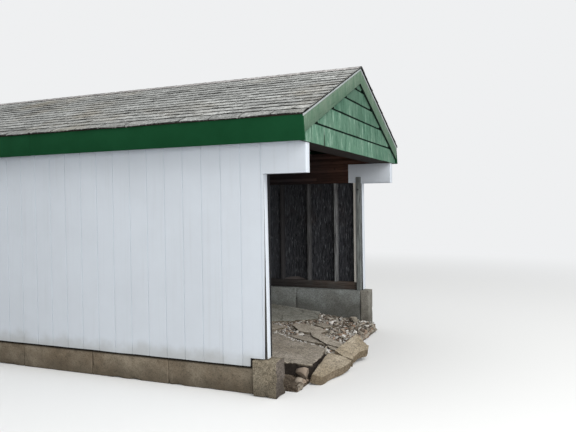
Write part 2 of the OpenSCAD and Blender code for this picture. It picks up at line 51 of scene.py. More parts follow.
class Piece:
    """A visible piece that is gathered from its blocks, boards or shingles, then set in place."""

    def __init__(self):
        self.points, self.grain, self.tone = [], [], []
        self.faces, self.finish = [], []
        self.count = 0

    def add(self, points, faces, grain=None, tone=0.5, finish=0):
        """Gathers one block: its points and faces, the place in its own grain, and its tone and finish."""
        self.points.append(points)
        self.grain.append(points if grain is None else grain)
        self.tone.append(np.broadcast_to(tone, len(points)))
        self.faces.extend([[int(i) + self.count for i in face] for face in faces])
        self.finish.append(np.broadcast_to(finish, len(faces)))
        self.count += len(points)

    def set_in_place(self, name, materials, slot, stands_for=(), crease=32):
        """Makes the object, which rides on the root and stands for those nodes of the CAD part."""
        mesh = bpy.data.meshes.new(name)
        mesh.from_pydata(np.concatenate(self.points).tolist(), [], self.faces)
        grain = mesh.attributes.new("grain_at", "FLOAT_VECTOR", "POINT")
        grain.data.foreach_set("vector", np.concatenate(self.grain).astype(np.float32).ravel())
        tone = mesh.attributes.new("tone", "FLOAT", "POINT")
        tone.data.foreach_set("value", np.concatenate(self.tone).astype(np.float32))
        mesh.polygons.foreach_set("material_index", np.concatenate(self.finish).astype(np.int32))
        shell = bmesh.new()
        shell.from_mesh(mesh)
        bmesh.ops.recalc_face_normals(shell, faces=shell.faces)
        shell.to_mesh(mesh)
        shell.free()
        mesh.shade_smooth()
        mesh.set_sharp_from_angle(angle=math.radians(crease))
        for material in materials:
            mesh.materials.append(material)
        made = bpy.data.objects.new(name, mesh)
        bpy.context.scene.collection.objects.link(made)
        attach(made, "root")
        if stands_for:
            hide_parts(*stands_for)
        return made


def waves(points, size, seed):
    """Smooth irregular heights from about -1 to 1 that rise and fall over size metres."""
    rng = np.random.default_rng(seed)
    headings = rng.normal(size=(12, 3))
    headings /= np.linalg.norm(headings, axis=1)[:, None] * size * rng.uniform(0.7, 2.2, (12, 1))
    phases = rng.uniform(0, 2 * math.pi, 12)
    swell = np.sin(2 * math.pi * np.asarray(points) @ headings.T + phases).sum(axis=1)
    return np.clip(swell / 4, -1.2, 1.2)


def stations(low, high, cell, ease):
    """Lines across a block from low to high, close together where its edge is rounded."""
    wide = high - low > 12 * ease
    near = np.array([0, 0.4, 1, 2.2, 4.5] if wide else [0, 1]) * ease
    steps = max(1, round((high - low - 2 * near[-1]) / cell))
    middle = np.linspace(low + near[-1], high - near[-1], steps + 1)
    return np.concatenate([low + near[:-1], middle, high - near[-2::-1]])


def box_shell(xs, ys, zs):
    """Points and four-sided faces of the six sides of a box that is cut along those lines."""
    shape = (len(xs), len(ys), len(zs))
    grid = np.arange(np.prod(shape)).reshape(shape)
    sides = [grid[0], grid[-1], grid[:, 0], grid[:, -1], grid[:, :, 0], grid[:, :, -1]]
    quads = [np.stack([side[:-1, :-1], side[1:, :-1], side[1:, 1:], side[:-1, 1:]], -1).reshape(-1, 4)
             for side in sides]
    used, faces = np.unique(np.concatenate(quads), return_inverse=True)
    i, j, k = np.unravel_index(used, shape)
    return np.column_stack([xs[i], ys[j], zs[k]]), faces.reshape(-1, 4)


def cast_block(piece, low, high, seed, cell=0.07, rough=0.0025, chips=0.02, tone=0.5, finish=0):
    """A cast block with rounded edges, a slightly uneven face and chipped arrises."""
    ease = 0.009
    low, high = np.array(low), np.array(high)
    points, faces = box_shell(*[stations(low[a], high[a], cell, ease) for a in range(3)])
    core = np.clip(points, low + ease, high - ease)
    outward = points - core
    outward /= np.linalg.norm(outward, axis=1, keepdims=True)
    from_edge = np.sort(np.minimum(points - low, high - points), axis=1)[:, 1]
    broken = np.clip(waves(points, 0.11, seed) - 0.3, 0, 1) * np.exp(-(from_edge / 0.022) ** 2)
    depth = rough * (1.2 + waves(points, 0.13, seed + 1)) / 2 + chips * broken
    piece.add(core + outward * (ease - depth)[:, None], faces, tone=tone, finish=finish)


def shader_node(tree, kind, values=None, **settings):
    """A shader node whose sockets, by name or number, take a value or another node's output."""
    made = tree.nodes.new(kind)
    for name, value in settings.items():
        setattr(made, name, value)
    for socket, value in (values or {}).items():
        if isinstance(value, bpy.types.NodeSocket):
            tree.links.new(value, made.inputs[socket])
        else:
            made.inputs[socket].default_value = value
    return made


def sums(tree, operation, *terms, clamp=False):
    """The output of one Math node on those terms."""
    values = dict(enumerate(terms))
    made = shader_node(tree, "ShaderNodeMath", values, operation=operation, use_clamp=clamp)
    return made.outputs[0]


def mixed(tree, share, first, second, how="MIX"):
    """A colour between two others, by a share from 0 to 1."""
    values = {0: share, 6: first, 7: second}
    made = shader_node(tree, "ShaderNodeMix", values, data_type="RGBA", blend_type=how)
    return made.outputs[2]


def tinted(tree, colour, other, mask, share):
    """The colour with another one over it, by a mask times a share."""
    return mixed(tree, sums(tree, "MULTIPLY", mask, share), colour, other)


def scaled(tree, colour, factor):
    """The colour made lighter or darker by a factor."""
    values = {0: colour, "Scale": factor}
    return shader_node(tree, "ShaderNodeVectorMath", values, operation="SCALE").outputs[0]


def ramp(tree, value, low, high, to_low=0.0, to_high=1.0):
    """A soft step from to_low to to_high as value goes from low to high."""
    values = {"Value": value, "From Min": low, "From Max": high, "To Min": to_low, "To Max": to_high}
    made = shader_node(tree, "ShaderNodeMapRange", values, interpolation_type="SMOOTHSTEP")
    return made.outputs[0]


def noise(tree, where, scale, detail, rough=0.5, bent=0.0):
    """A cloudy value round 0.5 that changes about scale times in a metre."""
    values = {"Vector": where, "Scale": scale, "Detail": detail, "Roughness": rough, "Distortion": bent}
    return shader_node(tree, "ShaderNodeTexNoise", values).outputs[0]


def grains(tree, where, scale):
    """Cells, scale of them in a metre: the distance from a cell's middle, and its own values."""
    cells = shader_node(tree, "ShaderNodeTexVoronoi", {"Vector": where, "Scale": scale}).outputs
    return cells["Distance"], shader_node(tree, "ShaderNodeSeparateColor", {0: cells["Color"]}).outputs


def place_in_model(tree):
    """The place of each point in the model, in metres."""
    return shader_node(tree, "ShaderNodeTexCoord").outputs["Object"]


def part_of(tree, where, axis):
    """One part, X, Y or Z, of a place."""
    return shader_node(tree, "ShaderNodeSeparateXYZ", {0: where}).outputs[axis]


def piece_tone(tree):
    """The tone that a block, board or shingle was given when it was made."""
    return shader_node(tree, "ShaderNodeAttribute", attribute_name="tone").outputs["Fac"]


def new_group(name, takes, gives):
    """An empty shader node group with named sockets, and its input and output nodes."""
    group = bpy.data.node_groups.new(name, "ShaderNodeTree")
    for label, kind, value in takes:
        socket = group.interface.new_socket(label, in_out="INPUT", socket_type="NodeSocket" + kind)
        if value is not None:
            socket.default_value = value
    for label, kind in gives:
        group.interface.new_socket(label, in_out="OUTPUT", socket_type="NodeSocket" + kind)
    given = group.nodes.new("NodeGroupInput").outputs
    result = group.nodes.new("NodeGroupOutput").inputs
    return group, given, result


def use_group(tree, group, values):
    """The outputs of a node group that is placed in the tree with those values."""
    return shader_node(tree, "ShaderNodeGroup", values, node_tree=group).outputs


def patches_group():
    """Cloudy patches: Scale is their count in a metre, and Cover the share that they take."""
    takes = [("Vector", "Vector", None), ("Scale", "Float", 3), ("Cover", "Float", 0.5),
             ("Soft", "Float", 0.1)]
    group, given, result = new_group("patches", takes, [("Mask", "Float")])
    cloud = noise(group, given["Vector"], given["Scale"], 5.0, rough=0.62)
    middle = ramp(group, given["Cover"], 0.0, 1.0, 0.78, 0.24)
    low = sums(group, "SUBTRACT", middle, given["Soft"])
    high = sums(group, "ADD", middle, given["Soft"])
    group.links.new(ramp(group, cloud, low, high), result["Mask"])
    return group


def own_tone_group():
    """Makes a block, board or shingle lighter or darker as a whole, by its own tone."""
    takes = [("Color", "Color", None), ("Spread", "Float", 0.2)]
    group, given, result = new_group("own_tone", takes, [("Color", "Color")])
    own = piece_tone(group)
    shift = sums(group, "MULTIPLY", sums(group, "SUBTRACT", own, 0.5), given["Spread"])
    factor = sums(group, "MULTIPLY_ADD", shift, 2.0, 1.0)
    group.links.new(scaled(group, given["Color"], factor), result["Color"])
    return group


def rising_dirt_group():
    """Splash dirt and damp that thin out with the height above Foot, over Reach metres."""
    takes = [("Vector", "Vector", None), ("Foot", "Float", 0), ("Reach", "Float", 0.2)]
    group, given, result = new_group("rising_dirt", takes, [("Mask", "Float")])
    height = part_of(group, given["Vector"], "Z")
    cloud = noise(group, given["Vector"], 5.0, 6.0)
    share = sums(group, "DIVIDE", sums(group, "SUBTRACT", height, given["Foot"]), given["Reach"])
    ragged = sums(group, "MULTIPLY_ADD", cloud, -1.6, sums(group, "ADD", share, 0.8))
    group.links.new(ramp(group, ragged, 0.0, 1.0, 1.0, 0.0), result["Mask"])
    return group


def aggregate_group():
    """Sand, small stones and pores in cast concrete: light and dark specks, and their relief."""
    takes = [("Vector", "Vector", None), ("Scale", "Float", 120)]
    gives = [("Specks", "Float"), ("Pores", "Float"), ("Height", "Float")]
    group, given, result = new_group("aggregate", takes, gives)
    tint = grains(group, given["Vector"], given["Scale"])[1]["Red"]
    coarse = sums(group, "MULTIPLY", given["Scale"], 0.3)
    from_hole = grains(group, given["Vector"], coarse)[0]
    pores = ramp(group, from_hole, 0.1, 0.24, 1.0, 0.0)
    sand = noise(group, given["Vector"], 60.0, 8.0, rough=0.7)
    relief = sums(group, "MULTIPLY_ADD", pores, -0.8, sand)
    group.links.new(tint, result["Specks"])
    group.links.new(pores, result["Pores"])
    group.links.new(sums(group, "MULTIPLY_ADD", tint, 0.25, relief), result["Height"])
    return group


patches = patches_group()
own_tone = own_tone_group()
rising_dirt = rising_dirt_group()
aggregate = aggregate_group()


def patchy(tree, where, scale, cover, soft):
    """The mask of the patches group."""
    values = {"Vector": where, "Scale": scale, "Cover": cover, "Soft": soft}
    return use_group(tree, patches, values)["Mask"]


def toned(tree, colour, spread):
    """The colour after the own_tone group."""
    return use_group(tree, own_tone, {"Color": colour, "Spread": spread})["Color"]


def new_material(name, roughness=0.9, shine=0.15):
    """A new material, its node tree and its surface shader."""
    material = bpy.data.materials.new(name)
    material.use_nodes = True
    skin = material.node_tree.nodes["Principled BSDF"]
    skin.inputs["Roughness"].default_value = roughness
    skin.inputs["Specular IOR Level"].default_value = shine
    return material, material.node_tree, skin


def finish_skin(tree, skin, colour, height, depth):
    """Joins the colour, and a relief that is depth metres deep, to the shader."""
    tree.links.new(colour, skin.inputs["Base Color"])
    relief = shader_node(tree, "ShaderNodeBump", {"Strength": 1.0, "Distance": depth, "Height": height})
    tree.links.new(relief.outputs[0], skin.inputs["Normal"])


def cast_concrete(name, pale, stain, dark, foot, damp=0.6, specks=0.35, shaded_at=None):
    """Cast concrete with damp at its foot, and a black line of painted shade just below the height shaded_at,
    where the siding hangs over it.
    """
    material, tree, skin = new_material(name, 0.92, 0.08)
    here = place_in_model(tree)
    stone = use_group(tree, aggregate, {"Vector": here, "Scale": 110.0})
    colour = mixed(tree, patchy(tree, here, 2.6, 0.5, 0.2), pale, stain)
    colour = tinted(tree, colour, dark, patchy(tree, here, 14.0, 0.4, 0.12), 0.35)
    speck = sums(tree, "MULTIPLY_ADD", stone["Specks"], specks, 1 - specks / 2)
    colour = scaled(tree, colour, speck)
    colour = tinted(tree, colour, dark, stone["Pores"], 0.55)
    wet = use_group(tree, rising_dirt, {"Vector": here, "Foot": foot, "Reach": 0.22})["Mask"]
    colour = tinted(tree, colour, dark, wet, damp)
    if shaded_at:
        # Painted shade: near black just under the siding's foot, where the siding hangs in front of the wall.
        line = ramp(tree, part_of(tree, here, "Z"), shaded_at - 0.034, shaded_at - 0.012)
        colour = tinted(tree, colour, (0.008, 0.007, 0.006, 1), line, 0.93)
    colour = toned(tree, colour, 0.22)
    finish_skin(tree, skin, colour, stone["Height"], 0.0022)
    return material


siding_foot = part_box("siding_left")[0].z
low_wall_concrete = cast_concrete("low_wall_concrete", (0.250, 0.212, 0.158, 1), (0.175, 0.138, 0.096, 1),
                                  (0.060, 0.050, 0.036, 1), foot=0.0, shaded_at=siding_foot)
high_wall_concrete = cast_concrete("high_wall_concrete", (0.250, 0.266, 0.256, 1), (0.185, 0.188, 0.174, 1),
                                   (0.072, 0.070, 0.060, 1), foot=0.25, specks=0.6)
old_block_concrete = cast_concrete("old_block_concrete", (0.225, 0.195, 0.145, 1), (0.165, 0.138, 0.098, 1),
                                   (0.060, 0.050, 0.036, 1), foot=0.0, specks=0.9)
new_block_concrete = cast_concrete("new_block_concrete", (0.245, 0.236, 0.208, 1), (0.185, 0.172, 0.142, 1),
                                   (0.075, 0.068, 0.054, 1), foot=0.1, specks=0.6)
# Painted shade: a darker copy of the old block's concrete, for the left block's lake face.
shaded_block_concrete = cast_concrete("shaded_block_concrete", (0.150, 0.130, 0.112, 1), (0.115, 0.095, 0.078, 1),
                                   (0.040, 0.034, 0.028, 1), foot=0.0, specks=0.9)

cast_length = 0.9245
least_length = 0.400
fine_joint = 0.002
block_joint = 0.014
for side, along, seed, first_joint, concrete in (("left", 1, 11, block_joint, low_wall_concrete),
                                                 ("right", 1, 12, 0, high_wall_concrete),
                                                 ("rear", 0, 13, 0, high_wall_concrete)):
    low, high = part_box("stem_wall_" + side)
    cuts = np.append(np.arange(low[along], high[along] - least_length, cast_length), high[along])
    wall = Piece()
    for k, (start, end) in enumerate(zip(cuts[:-1], cuts[1:])):
        part_low, part_high = list(low), list(high)
        part_low[along] = start + (fine_joint if k else first_joint)
        part_high[along] = end
        cast_block(wall, part_low, part_high, seed * 10 + k, tone=0.5 + 0.2 * math.sin(seed + 2.3 * k))
    wall.set_in_place("foundation_" + side, [concrete], "concrete", ["stem_wall_" + side])


def cad_solids(node):
    """The box of each separate solid of a CAD node, in order of its lowest corner."""
    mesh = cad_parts[node].data
    shell = bmesh.new()
    shell.from_mesh(mesh)
    bmesh.ops.remove_doubles(shell, verts=shell.verts[:], dist=1e-5)
    seen, boxes = set(), []
    for first in shell.verts:
        if first in seen:
            continue
        group, waiting = [], [first]
        seen.add(first)
        while waiting:
            vert = waiting.pop()
            group.append(vert.co)
            for edge in vert.link_edges:
                other = edge.other_vert(vert)
                if other not in seen:
                    seen.add(other)
                    waiting.append(other)
        corners = np.array(group)
        boxes.append((corners.min(axis=0), corners.max(axis=0)))
    shell.free()
    return sorted(boxes, key=lambda box: tuple(np.round(box[0], 4)))


dish_depth = 0.022
dish_reach = 0.090
dish_edge = 0.020
face_depth = 0.012
siding_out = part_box("siding_left")[0].x
(left_block_low, left_block_high), (right_block_low, right_block_high) = cad_solids("end_blocks")
left_stem_h = left_block_high[2]
end_blocks = Piece()
cast_block(end_blocks, left_block_low, left_block_high, seed=31, cell=0.035, rough=0.006, chips=0.03,
           tone=0.55)
block = end_blocks.points[0]
# The left block's lake face takes the concrete that is painted darker as shade.
lake_face = [np.all(block[face, 1] < left_block_low[1] + face_depth) for face in end_blocks.faces]
end_blocks.finish[0] = np.where(lake_face, 2, 0)
block_middle = (left_block_low[1] + left_block_high[1]) / 2
block_length = left_block_high[1] - left_block_low[1]
dish = 1 - np.clip(2 * np.abs(block[:, 1] - block_middle) / block_length, 0, 1) ** 8
out_of_wall = np.clip((siding_out - block[:, 0]) / dish_edge + 0.5, 0, 1)
near_top = np.clip((block[:, 2] - left_stem_h + dish_reach) / dish_reach, 0, 1)
block[:, 2] -= dish_depth * dish * out_of_wall * near_top
cast_block(end_blocks, right_block_low, right_block_high, seed=32, cell=0.045, rough=0.003, chips=0.016,
           finish=1)
block_skins = [old_block_concrete, new_block_concrete, shaded_block_concrete]
end_blocks.set_in_place("end_blocks_cast", block_skins, "concrete", ["end_blocks"])

# Floor: a concrete slab 100 mm thick on packed fill. It is level inside and falls to the lake
# as a ramp. Frost has broken it in two across the mouth, and two pieces have slid off its front.

gable_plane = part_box("gable_shingles_front")[0].y
floor_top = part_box("floor_slab")[1].z
floor_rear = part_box("floor_slab")[1].y
slab_t = 0.100
ramp_len = 2.150
fall_per_metre = 0.0975
inner_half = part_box("stem_wall_right")[0].x
fill_low, fill_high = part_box("fill_bed")


def ramp_z(y):
    """Height of the floor's surface at a place along the boathouse."""
    return floor_top - fall_per_metre * np.maximum(0, ramp_len - (np.asarray(y) - gable_plane))


def in_lake_frame(outline):
    """Corners in the model's frame, from ones measured in metres from the gable's plane."""
    return [(x, y + gable_plane) for x, y in outline]


floor_break = in_lake_frame([(inner_half, 0.996), (0.970, 0.872), (0.600, 1.124), (0.100, 1.700),
                             (-0.500, 2.060), (-inner_half, 2.246)])
ramp_break = in_lake_frame([(-inner_half, 1.966), (-0.600, 1.726), (-0.060, 0.960), (-0.195, 0.683),
                            (-0.230, 0.449), (-0.365, 0.302), (-0.460, 0.269), (-0.973, 0.221),
                            (-1.075, 0.530), (-inner_half, 0.780)])


def inside(points, outline):
    """Which of the points lie inside an outline, by counting its crossings of a level line."""
    x, y = points[:, 0], points[:, 1]
    result = np.zeros(len(points), bool)
    for (x0, y0), (x1, y1) in zip(outline, outline[1:] + outline[:1]):
        crosses = (y0 > y) != (y1 > y)
        at = x0 + (y - y0) * (x1 - x0) / (y1 - y0 if y1 != y0 else 1)
        result ^= crosses & (x < at)
    return result


def broken_slab(piece, outline, surface, thickness, seed, cell=0.1, cast=None, tone=0.5, spall=0.012,
                ragged=0.012, undercut=0.02, deep=1):
    """A slab inside an outline. Its edges are rough, except where cast(x, y) says they met a wall.

    Its top has finish 0, the upper part of its edges finish 1 and their lower part finish deep."""
    rng = np.random.default_rng(seed)
    cast = cast or (lambda x, y: False)
    rim = []
    for (x0, y0), (x1, y1) in zip(outline, outline[1:] + outline[:1]):
        straight = cast(x0, y0) and cast(x1, y1)
        length = math.dist((x0, y0), (x1, y1))
        steps = max(1, round(length / (0.2 if straight else 0.028)))
        for k in range(steps):
            share = k / steps
            x, y = x0 + (x1 - x0) * share, y0 + (y1 - y0) * share
            if k and not straight:
                swing = ragged * waves([(x, y, seed)], 0.16, seed)[0] + rng.normal(0, ragged / 4)
                x, y = x - (y1 - y0) / length * swing, y + (x1 - x0) / length * swing
            rim.append((x, y))
    plan = bmesh.new()
    plan.faces.new([plan.verts.new((x, y, 0)) for x, y in rim])
    bmesh.ops.triangulate(plan, faces=plan.faces[:])
    for axis in (0, 1):
        values = [corner[axis] for corner in rim]
        for at in np.arange(min(values) + cell, max(values) - cell / 2, cell):
            everything = plan.verts[:] + plan.edges[:] + plan.faces[:]
            normal = (1, 0, 0) if axis == 0 else (0, 1, 0)
            bmesh.ops.bisect_plane(plan, geom=everything, dist=1e-5, plane_co=(at, at, 0), plane_no=normal)
    plan.verts.index_update()
    flat = np.array([v.co for v in plan.verts])
    after = {}
    for edge in plan.edges:
        if len(edge.link_faces) == 1:
            loop = edge.link_loops[0]
            after[loop.vert.index] = loop.link_loop_next.vert.index
    start = next(iter(after))
    ring = [start]
    while after[ring[-1]] != start:
        ring.append(after[ring[-1]])
    faces = [[v.index for v in face.verts] for face in plan.faces]
    top_faces = len(faces)
    plan.free()
    edge = flat[ring, :2]
    outward = np.roll(edge, -1, axis=0) - np.roll(edge, 1, axis=0)
    outward = np.column_stack([outward[:, 1], -outward[:, 0]])
    outward /= np.maximum(np.linalg.norm(outward, axis=1, keepdims=True), 1e-9)
    rough = np.array([not cast(x, y) for x, y in edge], float)
    top = np.column_stack([flat[:, :2], surface(flat[:, 0], flat[:, 1]) + 0.002 * waves(flat, 0.3, seed)])
    top[ring, 2] -= spall * rough * rng.uniform(0, 1, len(ring)) ** 2
    points, count = [top], len(top)
    above = np.array(ring)
    for share in (0.14, 0.4, 0.72, 1.0):
        z = surface(edge[:, 0], edge[:, 1]) - thickness * share
        row = np.column_stack([edge, z])
        swing = rough * (ragged * 0.7 * waves(row, 0.07, seed + 5) - undercut * share ** 2)
        row[:, :2] += outward * swing[:, None]
        below = np.arange(count, count + len(row))
        faces += np.column_stack([above, below, np.roll(below, -1), np.roll(above, -1)]).tolist()
        points.append(row)
        count += len(row)
        above = below
    faces.append(list(reversed(above.tolist())))
    order = np.arange(len(faces))
    finish = np.where(order < top_faces, 0, np.where(order < top_faces + len(ring), 1, deep))
    piece.add(np.concatenate(points), faces, tone=tone, finish=finish)


def slab_concrete(name, pale, stain, dark, cracked=0.8):
    """Weathered slab: cast concrete with fine cracks and sand that has washed out of its top."""
    material, tree, skin = new_material(name, 0.93, 0.08)
    here = place_in_model(tree)
    stone = use_group(tree, aggregate, {"Vector": here, "Scale": 90.0})
    drift = shader_node(tree, "ShaderNodeTexNoise", {"Vector": here, "Scale": 7.0, "Detail": 5.0})
    bent = mixed(tree, 0.12, here, drift.outputs["Color"])
    plates = {"Vector": bent, "Scale": 2.3}
    lines = shader_node(tree, "ShaderNodeTexVoronoi", plates, feature="DISTANCE_TO_EDGE").outputs["Distance"]
    crack = sums(tree, "MULTIPLY", ramp(tree, lines, 0.004, 0.022, 1.0, 0.0), cracked)
    worn = patchy(tree, here, 11.0, 0.45, 0.1)
    colour = mixed(tree, patchy(tree, here, 2.0, 0.5, 0.2), pale, stain)
    colour = tinted(tree, colour, dark, worn, 0.36)
    speck = sums(tree, "MULTIPLY_ADD", stone["Specks"], 0.7, 0.68)
    colour = scaled(tree, colour, speck)
    pits = sums(tree, "MAXIMUM", crack, sums(tree, "MULTIPLY", stone["Pores"], 0.4))
    colour = mixed(tree, pits, colour, dark)
    colour = toned(tree, colour, 0.25)
    height = sums(tree, "MULTIPLY_ADD", crack, -2.0, stone["Height"])
    finish_skin(tree, skin, colour, sums(tree, "MULTIPLY_ADD", worn, -0.6, height), 0.003)
    return material


floor_concrete = slab_concrete("floor_concrete", (0.300, 0.300, 0.265, 1), (0.230, 0.220, 0.185, 1),
                               (0.085, 0.078, 0.064, 1), cracked=0.6)
ramp_concrete = slab_concrete("ramp_concrete", (0.340, 0.304, 0.256, 1), (0.240, 0.210, 0.168, 1),
                              (0.095, 0.080, 0.060, 1), cracked=0.15)
fallen_concrete = slab_concrete("fallen_concrete", (0.370, 0.320, 0.245, 1), (0.265, 0.220, 0.155, 1),
                                (0.120, 0.095, 0.065, 1), cracked=0.2)
# The slabs' broken edges: their own darker brown concrete, with painted shade on those faces.
shaded_broken_concrete = cast_concrete("shaded_broken_concrete", (0.150, 0.128, 0.098, 1), (0.085, 0.070, 0.052, 1),
                                (0.030, 0.025, 0.019, 1), foot=0.0, specks=0.9)
shaded_concrete = cast_concrete("shaded_concrete", (0.040, 0.032, 0.026, 1), (0.024, 0.019, 0.015, 1),
                                (0.010, 0.008, 0.007, 1), foot=0.0, specks=0.9)
fallen_edge = cast_concrete("fallen_edge", (0.290, 0.235, 0.165, 1), (0.200, 0.158, 0.105, 1),
                            (0.085, 0.066, 0.044, 1), foot=0.0, damp=0.3, specks=0.8)


def meets_wall(x, y):
    """Whether a corner of a slab's outline was cast against a foundation wall."""
    return abs(x) > inner_half - 0.001 or y > floor_rear - 0.001


rear_corners = [(-inner_half, floor_rear), (inner_half, floor_rear)]
level_floor = Piece()
broken_slab(level_floor, floor_break + rear_corners, lambda x, y: ramp_z(y), slab_t, 41, cell=0.13,
            cast=meets_wall)
level_floor.set_in_place("floor_slab_cast", [floor_concrete, shaded_broken_concrete], "concrete", ["floor_slab"])
ramp_piece = Piece()
broken_slab(ramp_piece, ramp_break, lambda x, y: ramp_z(y), slab_t, 42, cell=0.06, cast=meets_wall,
            spall=0.016, undercut=0.06, deep=2)
ramp_skins = [ramp_concrete, shaded_broken_concrete, shaded_concrete]
ramp_piece.set_in_place("ramp_slab_cast", ramp_skins, "concrete", ["ramp_slab"])

near_outline = [(0.255, 0.115), (0.315, -0.030), (0.285, -0.130), (0.120, -0.115), (-0.020, -0.075),
                (-0.100, -0.048), (-0.210, -0.035), (-0.292, -0.015), (-0.315, 0.085), (-0.070, 0.108)]
far_outline = [(-0.180, 0.110), (0.170, 0.040), (0.303, 0.010), (0.170, -0.135), (0.146, -0.180),
               (0.068, -0.191), (-0.040, -0.124), (-0.180, -0.095), (-0.232, -0.113), (-0.225, 0.006)]
fragment_t = 0.085
fragment_gap = 0.0003
fragment_pitch = math.radians(17)
fallen = Piece()
for k, (outline, x, roll, seed, tone) in enumerate(((near_outline, -0.840, math.radians(6), 43, 0.45),
                                                    (far_outline, -0.200, math.radians(14), 44, 0.55))):
    broken_slab(fallen, outline, lambda x, y: 0 * x, fragment_t, seed, cell=0.05, spall=0.006, ragged=0.004,
                undercut=0.006, tone=tone)
    turn = Matrix.Rotation(-roll, 3, "Y") @ Matrix.Rotation(fragment_pitch, 3, "X")
    placed = fallen.points[k] @ np.array(turn).T
    inner = max(y for _, y in outline) * math.cos(fragment_pitch) + fragment_t * math.sin(fragment_pitch)
    under = fragment_t * math.cos(fragment_pitch)
    foot = min(x0 * math.sin(roll) + (y0 * math.sin(fragment_pitch) - under) * math.cos(roll)
               for x0, y0 in outline)
    placed += (x, fill_low.y - fragment_gap - inner, -foot)
    placed[:, 2] = np.maximum(placed[:, 2], 0)
    fallen.points[k] = placed
fallen.set_in_place("fallen_slab_pieces", [fallen_concrete, fallen_edge], "concrete", ["slab_fragments"])

# Fill under the floor: packed gravel and earth. Where the slab is gone it shows as a bed of
# crushed stone, sharp chips of old concrete and flat flakes of the slab's own surface. Rounder
# stones line its lake face, and a few lie in the hollow that is washed out under the ramp.


def plate(face, back, present=None):
    """A closed plate between two nets of points of one size. Cells that aren't present are open."""
    columns, rows = face.shape[:2]
    cells = np.ones((columns - 1, rows - 1), bool) if present is None else present
    index = np.arange(columns * rows).reshape(columns, rows)
    behind = index + columns * rows
    i, j = np.nonzero(cells)
    front = np.stack([index[i, j], index[i + 1, j], index[i + 1, j + 1], index[i, j + 1]], 1)
    rear = np.stack([behind[i, j], behind[i, j + 1], behind[i + 1, j + 1], behind[i + 1, j]], 1)
    framed = np.pad(cells, 1)
    i, j = np.nonzero(framed[1:, 1:-1] != framed[:-1, 1:-1])
    ends = np.stack([index[i, j], index[i, j + 1], behind[i, j + 1], behind[i, j]], 1)
    i, j = np.nonzero(framed[1:-1, 1:] != framed[1:-1, :-1])
    edges = np.stack([index[i, j], index[i + 1, j], behind[i + 1, j], behind[i, j]], 1)
    quads = np.concatenate([front, rear, ends, edges])
    used, quads = np.unique(quads, return_inverse=True)
    sides = np.repeat([0, 1, 2, 2], [len(front), len(rear), len(ends), len(edges)])
    points = np.concatenate([face.reshape(-1, 3), back.reshape(-1, 3)])[used]
    return points, quads.reshape(-1, 4), sides


rubble_down = 0.020
rubble_left = -0.430
rubble_plan = floor_break + ramp_break[:7] + [(rubble_left, fill_low.y), (inner_half, fill_low.y)]
hollow_left = -1.250
hollow_right = -0.935
hollow_reach = 0.170
covered_y = gable_plane + 2.450
fill_x = np.linspace(-inner_half, inner_half, 57)
open_rows = np.arange(fill_low.y, covered_y - 0.05, 0.045)
fill_y = np.concatenate([open_rows, np.linspace(covered_y, fill_high.y, 12)])
net_x, net_y = np.meshgrid(fill_x, fill_y, indexing="ij")
net = np.column_stack([net_x.ravel(), net_y.ravel(), 0 * net_x.ravel()])
open_bed = inside(net, rubble_plan).reshape(net_x.shape)
bumps = waves(net, 0.13, 51).reshape(net_x.shape)
depth = np.where(open_bed, rubble_down + 0.014 + 0.012 * bumps, slab_t + 0.002)
surface = ramp_z(net_y) - depth
hollow = (net_x > hollow_left) & (net_x < hollow_right) & (net_y < fill_low.y + hollow_reach)
surface = np.where(hollow, 0.012 + 0.006 * bumps, surface)
face = np.stack([net_x, net_y, surface], -1)
back = np.stack([net_x, net_y, 0 * net_x], -1)
fill = Piece()
fill.add(*plate(face, back)[:2])


def loose_gravel():
    """Packed earth with stones from sand to 30 mm, light and dark."""
    material, tree, skin = new_material("packed_gravel", 0.95)
    here = place_in_model(tree)
    from_middle, own = grains(tree, here, 46.0)
    colour = mixed(tree, own["Red"], (0.048, 0.034, 0.024, 1), (0.210, 0.172, 0.128, 1))
    earth = patchy(tree, here, 6.0, 0.5, 0.2)
    colour = tinted(tree, colour, (0.034, 0.024, 0.017, 1), earth, 0.6)
    edge = ramp(tree, from_middle, 0.15, 0.6, 1.0, 0.0)
    finish_skin(tree, skin, colour, edge, 0.008)
    return material


packed_gravel = loose_gravel()
fill.set_in_place("fill_surface", [packed_gravel], "rubble", ["fill_bed"])


def stone_shape(detail):
    """Corners and faces of a round stone, which are cut to sharp chips."""
    ball = bmesh.new()
    bmesh.ops.create_icosphere(ball, subdivisions=detail, radius=1)
    corners = np.array([v.co for v in ball.verts])
    faces = np.array([[v.index for v in face.verts] for face in ball.faces])
    ball.free()
    return corners, faces


small_stone, large_stone = stone_shape(1), stone_shape(2)


def sharp_stone(piece, place, size, flat, rng, cuts=7, tones=(0, 1)):
    """One chip of stone: a ball cut by random planes, flattened, turned and sunk a little."""
    ball_corners, ball_faces = large_stone if size > 0.020 else small_stone
    points = ball_corners.copy()
    for heading in rng.normal(size=(cuts, 3)):
        heading /= np.linalg.norm(heading)
        over = np.maximum(points @ heading - rng.uniform(0.45, 0.75), 0)
        points -= over[:, None] * heading
    points *= np.array([1, rng.uniform(0.55, 0.9), flat]) * size
    tilt = Matrix.Rotation(rng.normal(0, 0.25), 3, "X") @ Matrix.Rotation(rng.normal(0, 0.25), 3, "Y")
    spin = np.array(Matrix.Rotation(rng.uniform(0, 2 * math.pi), 3, "Z") @ tilt)
    points = points @ spin.T + place
    points[:, 2] = np.maximum(points[:, 2], 0)
    piece.add(points, ball_faces, tone=rng.uniform(*tones))


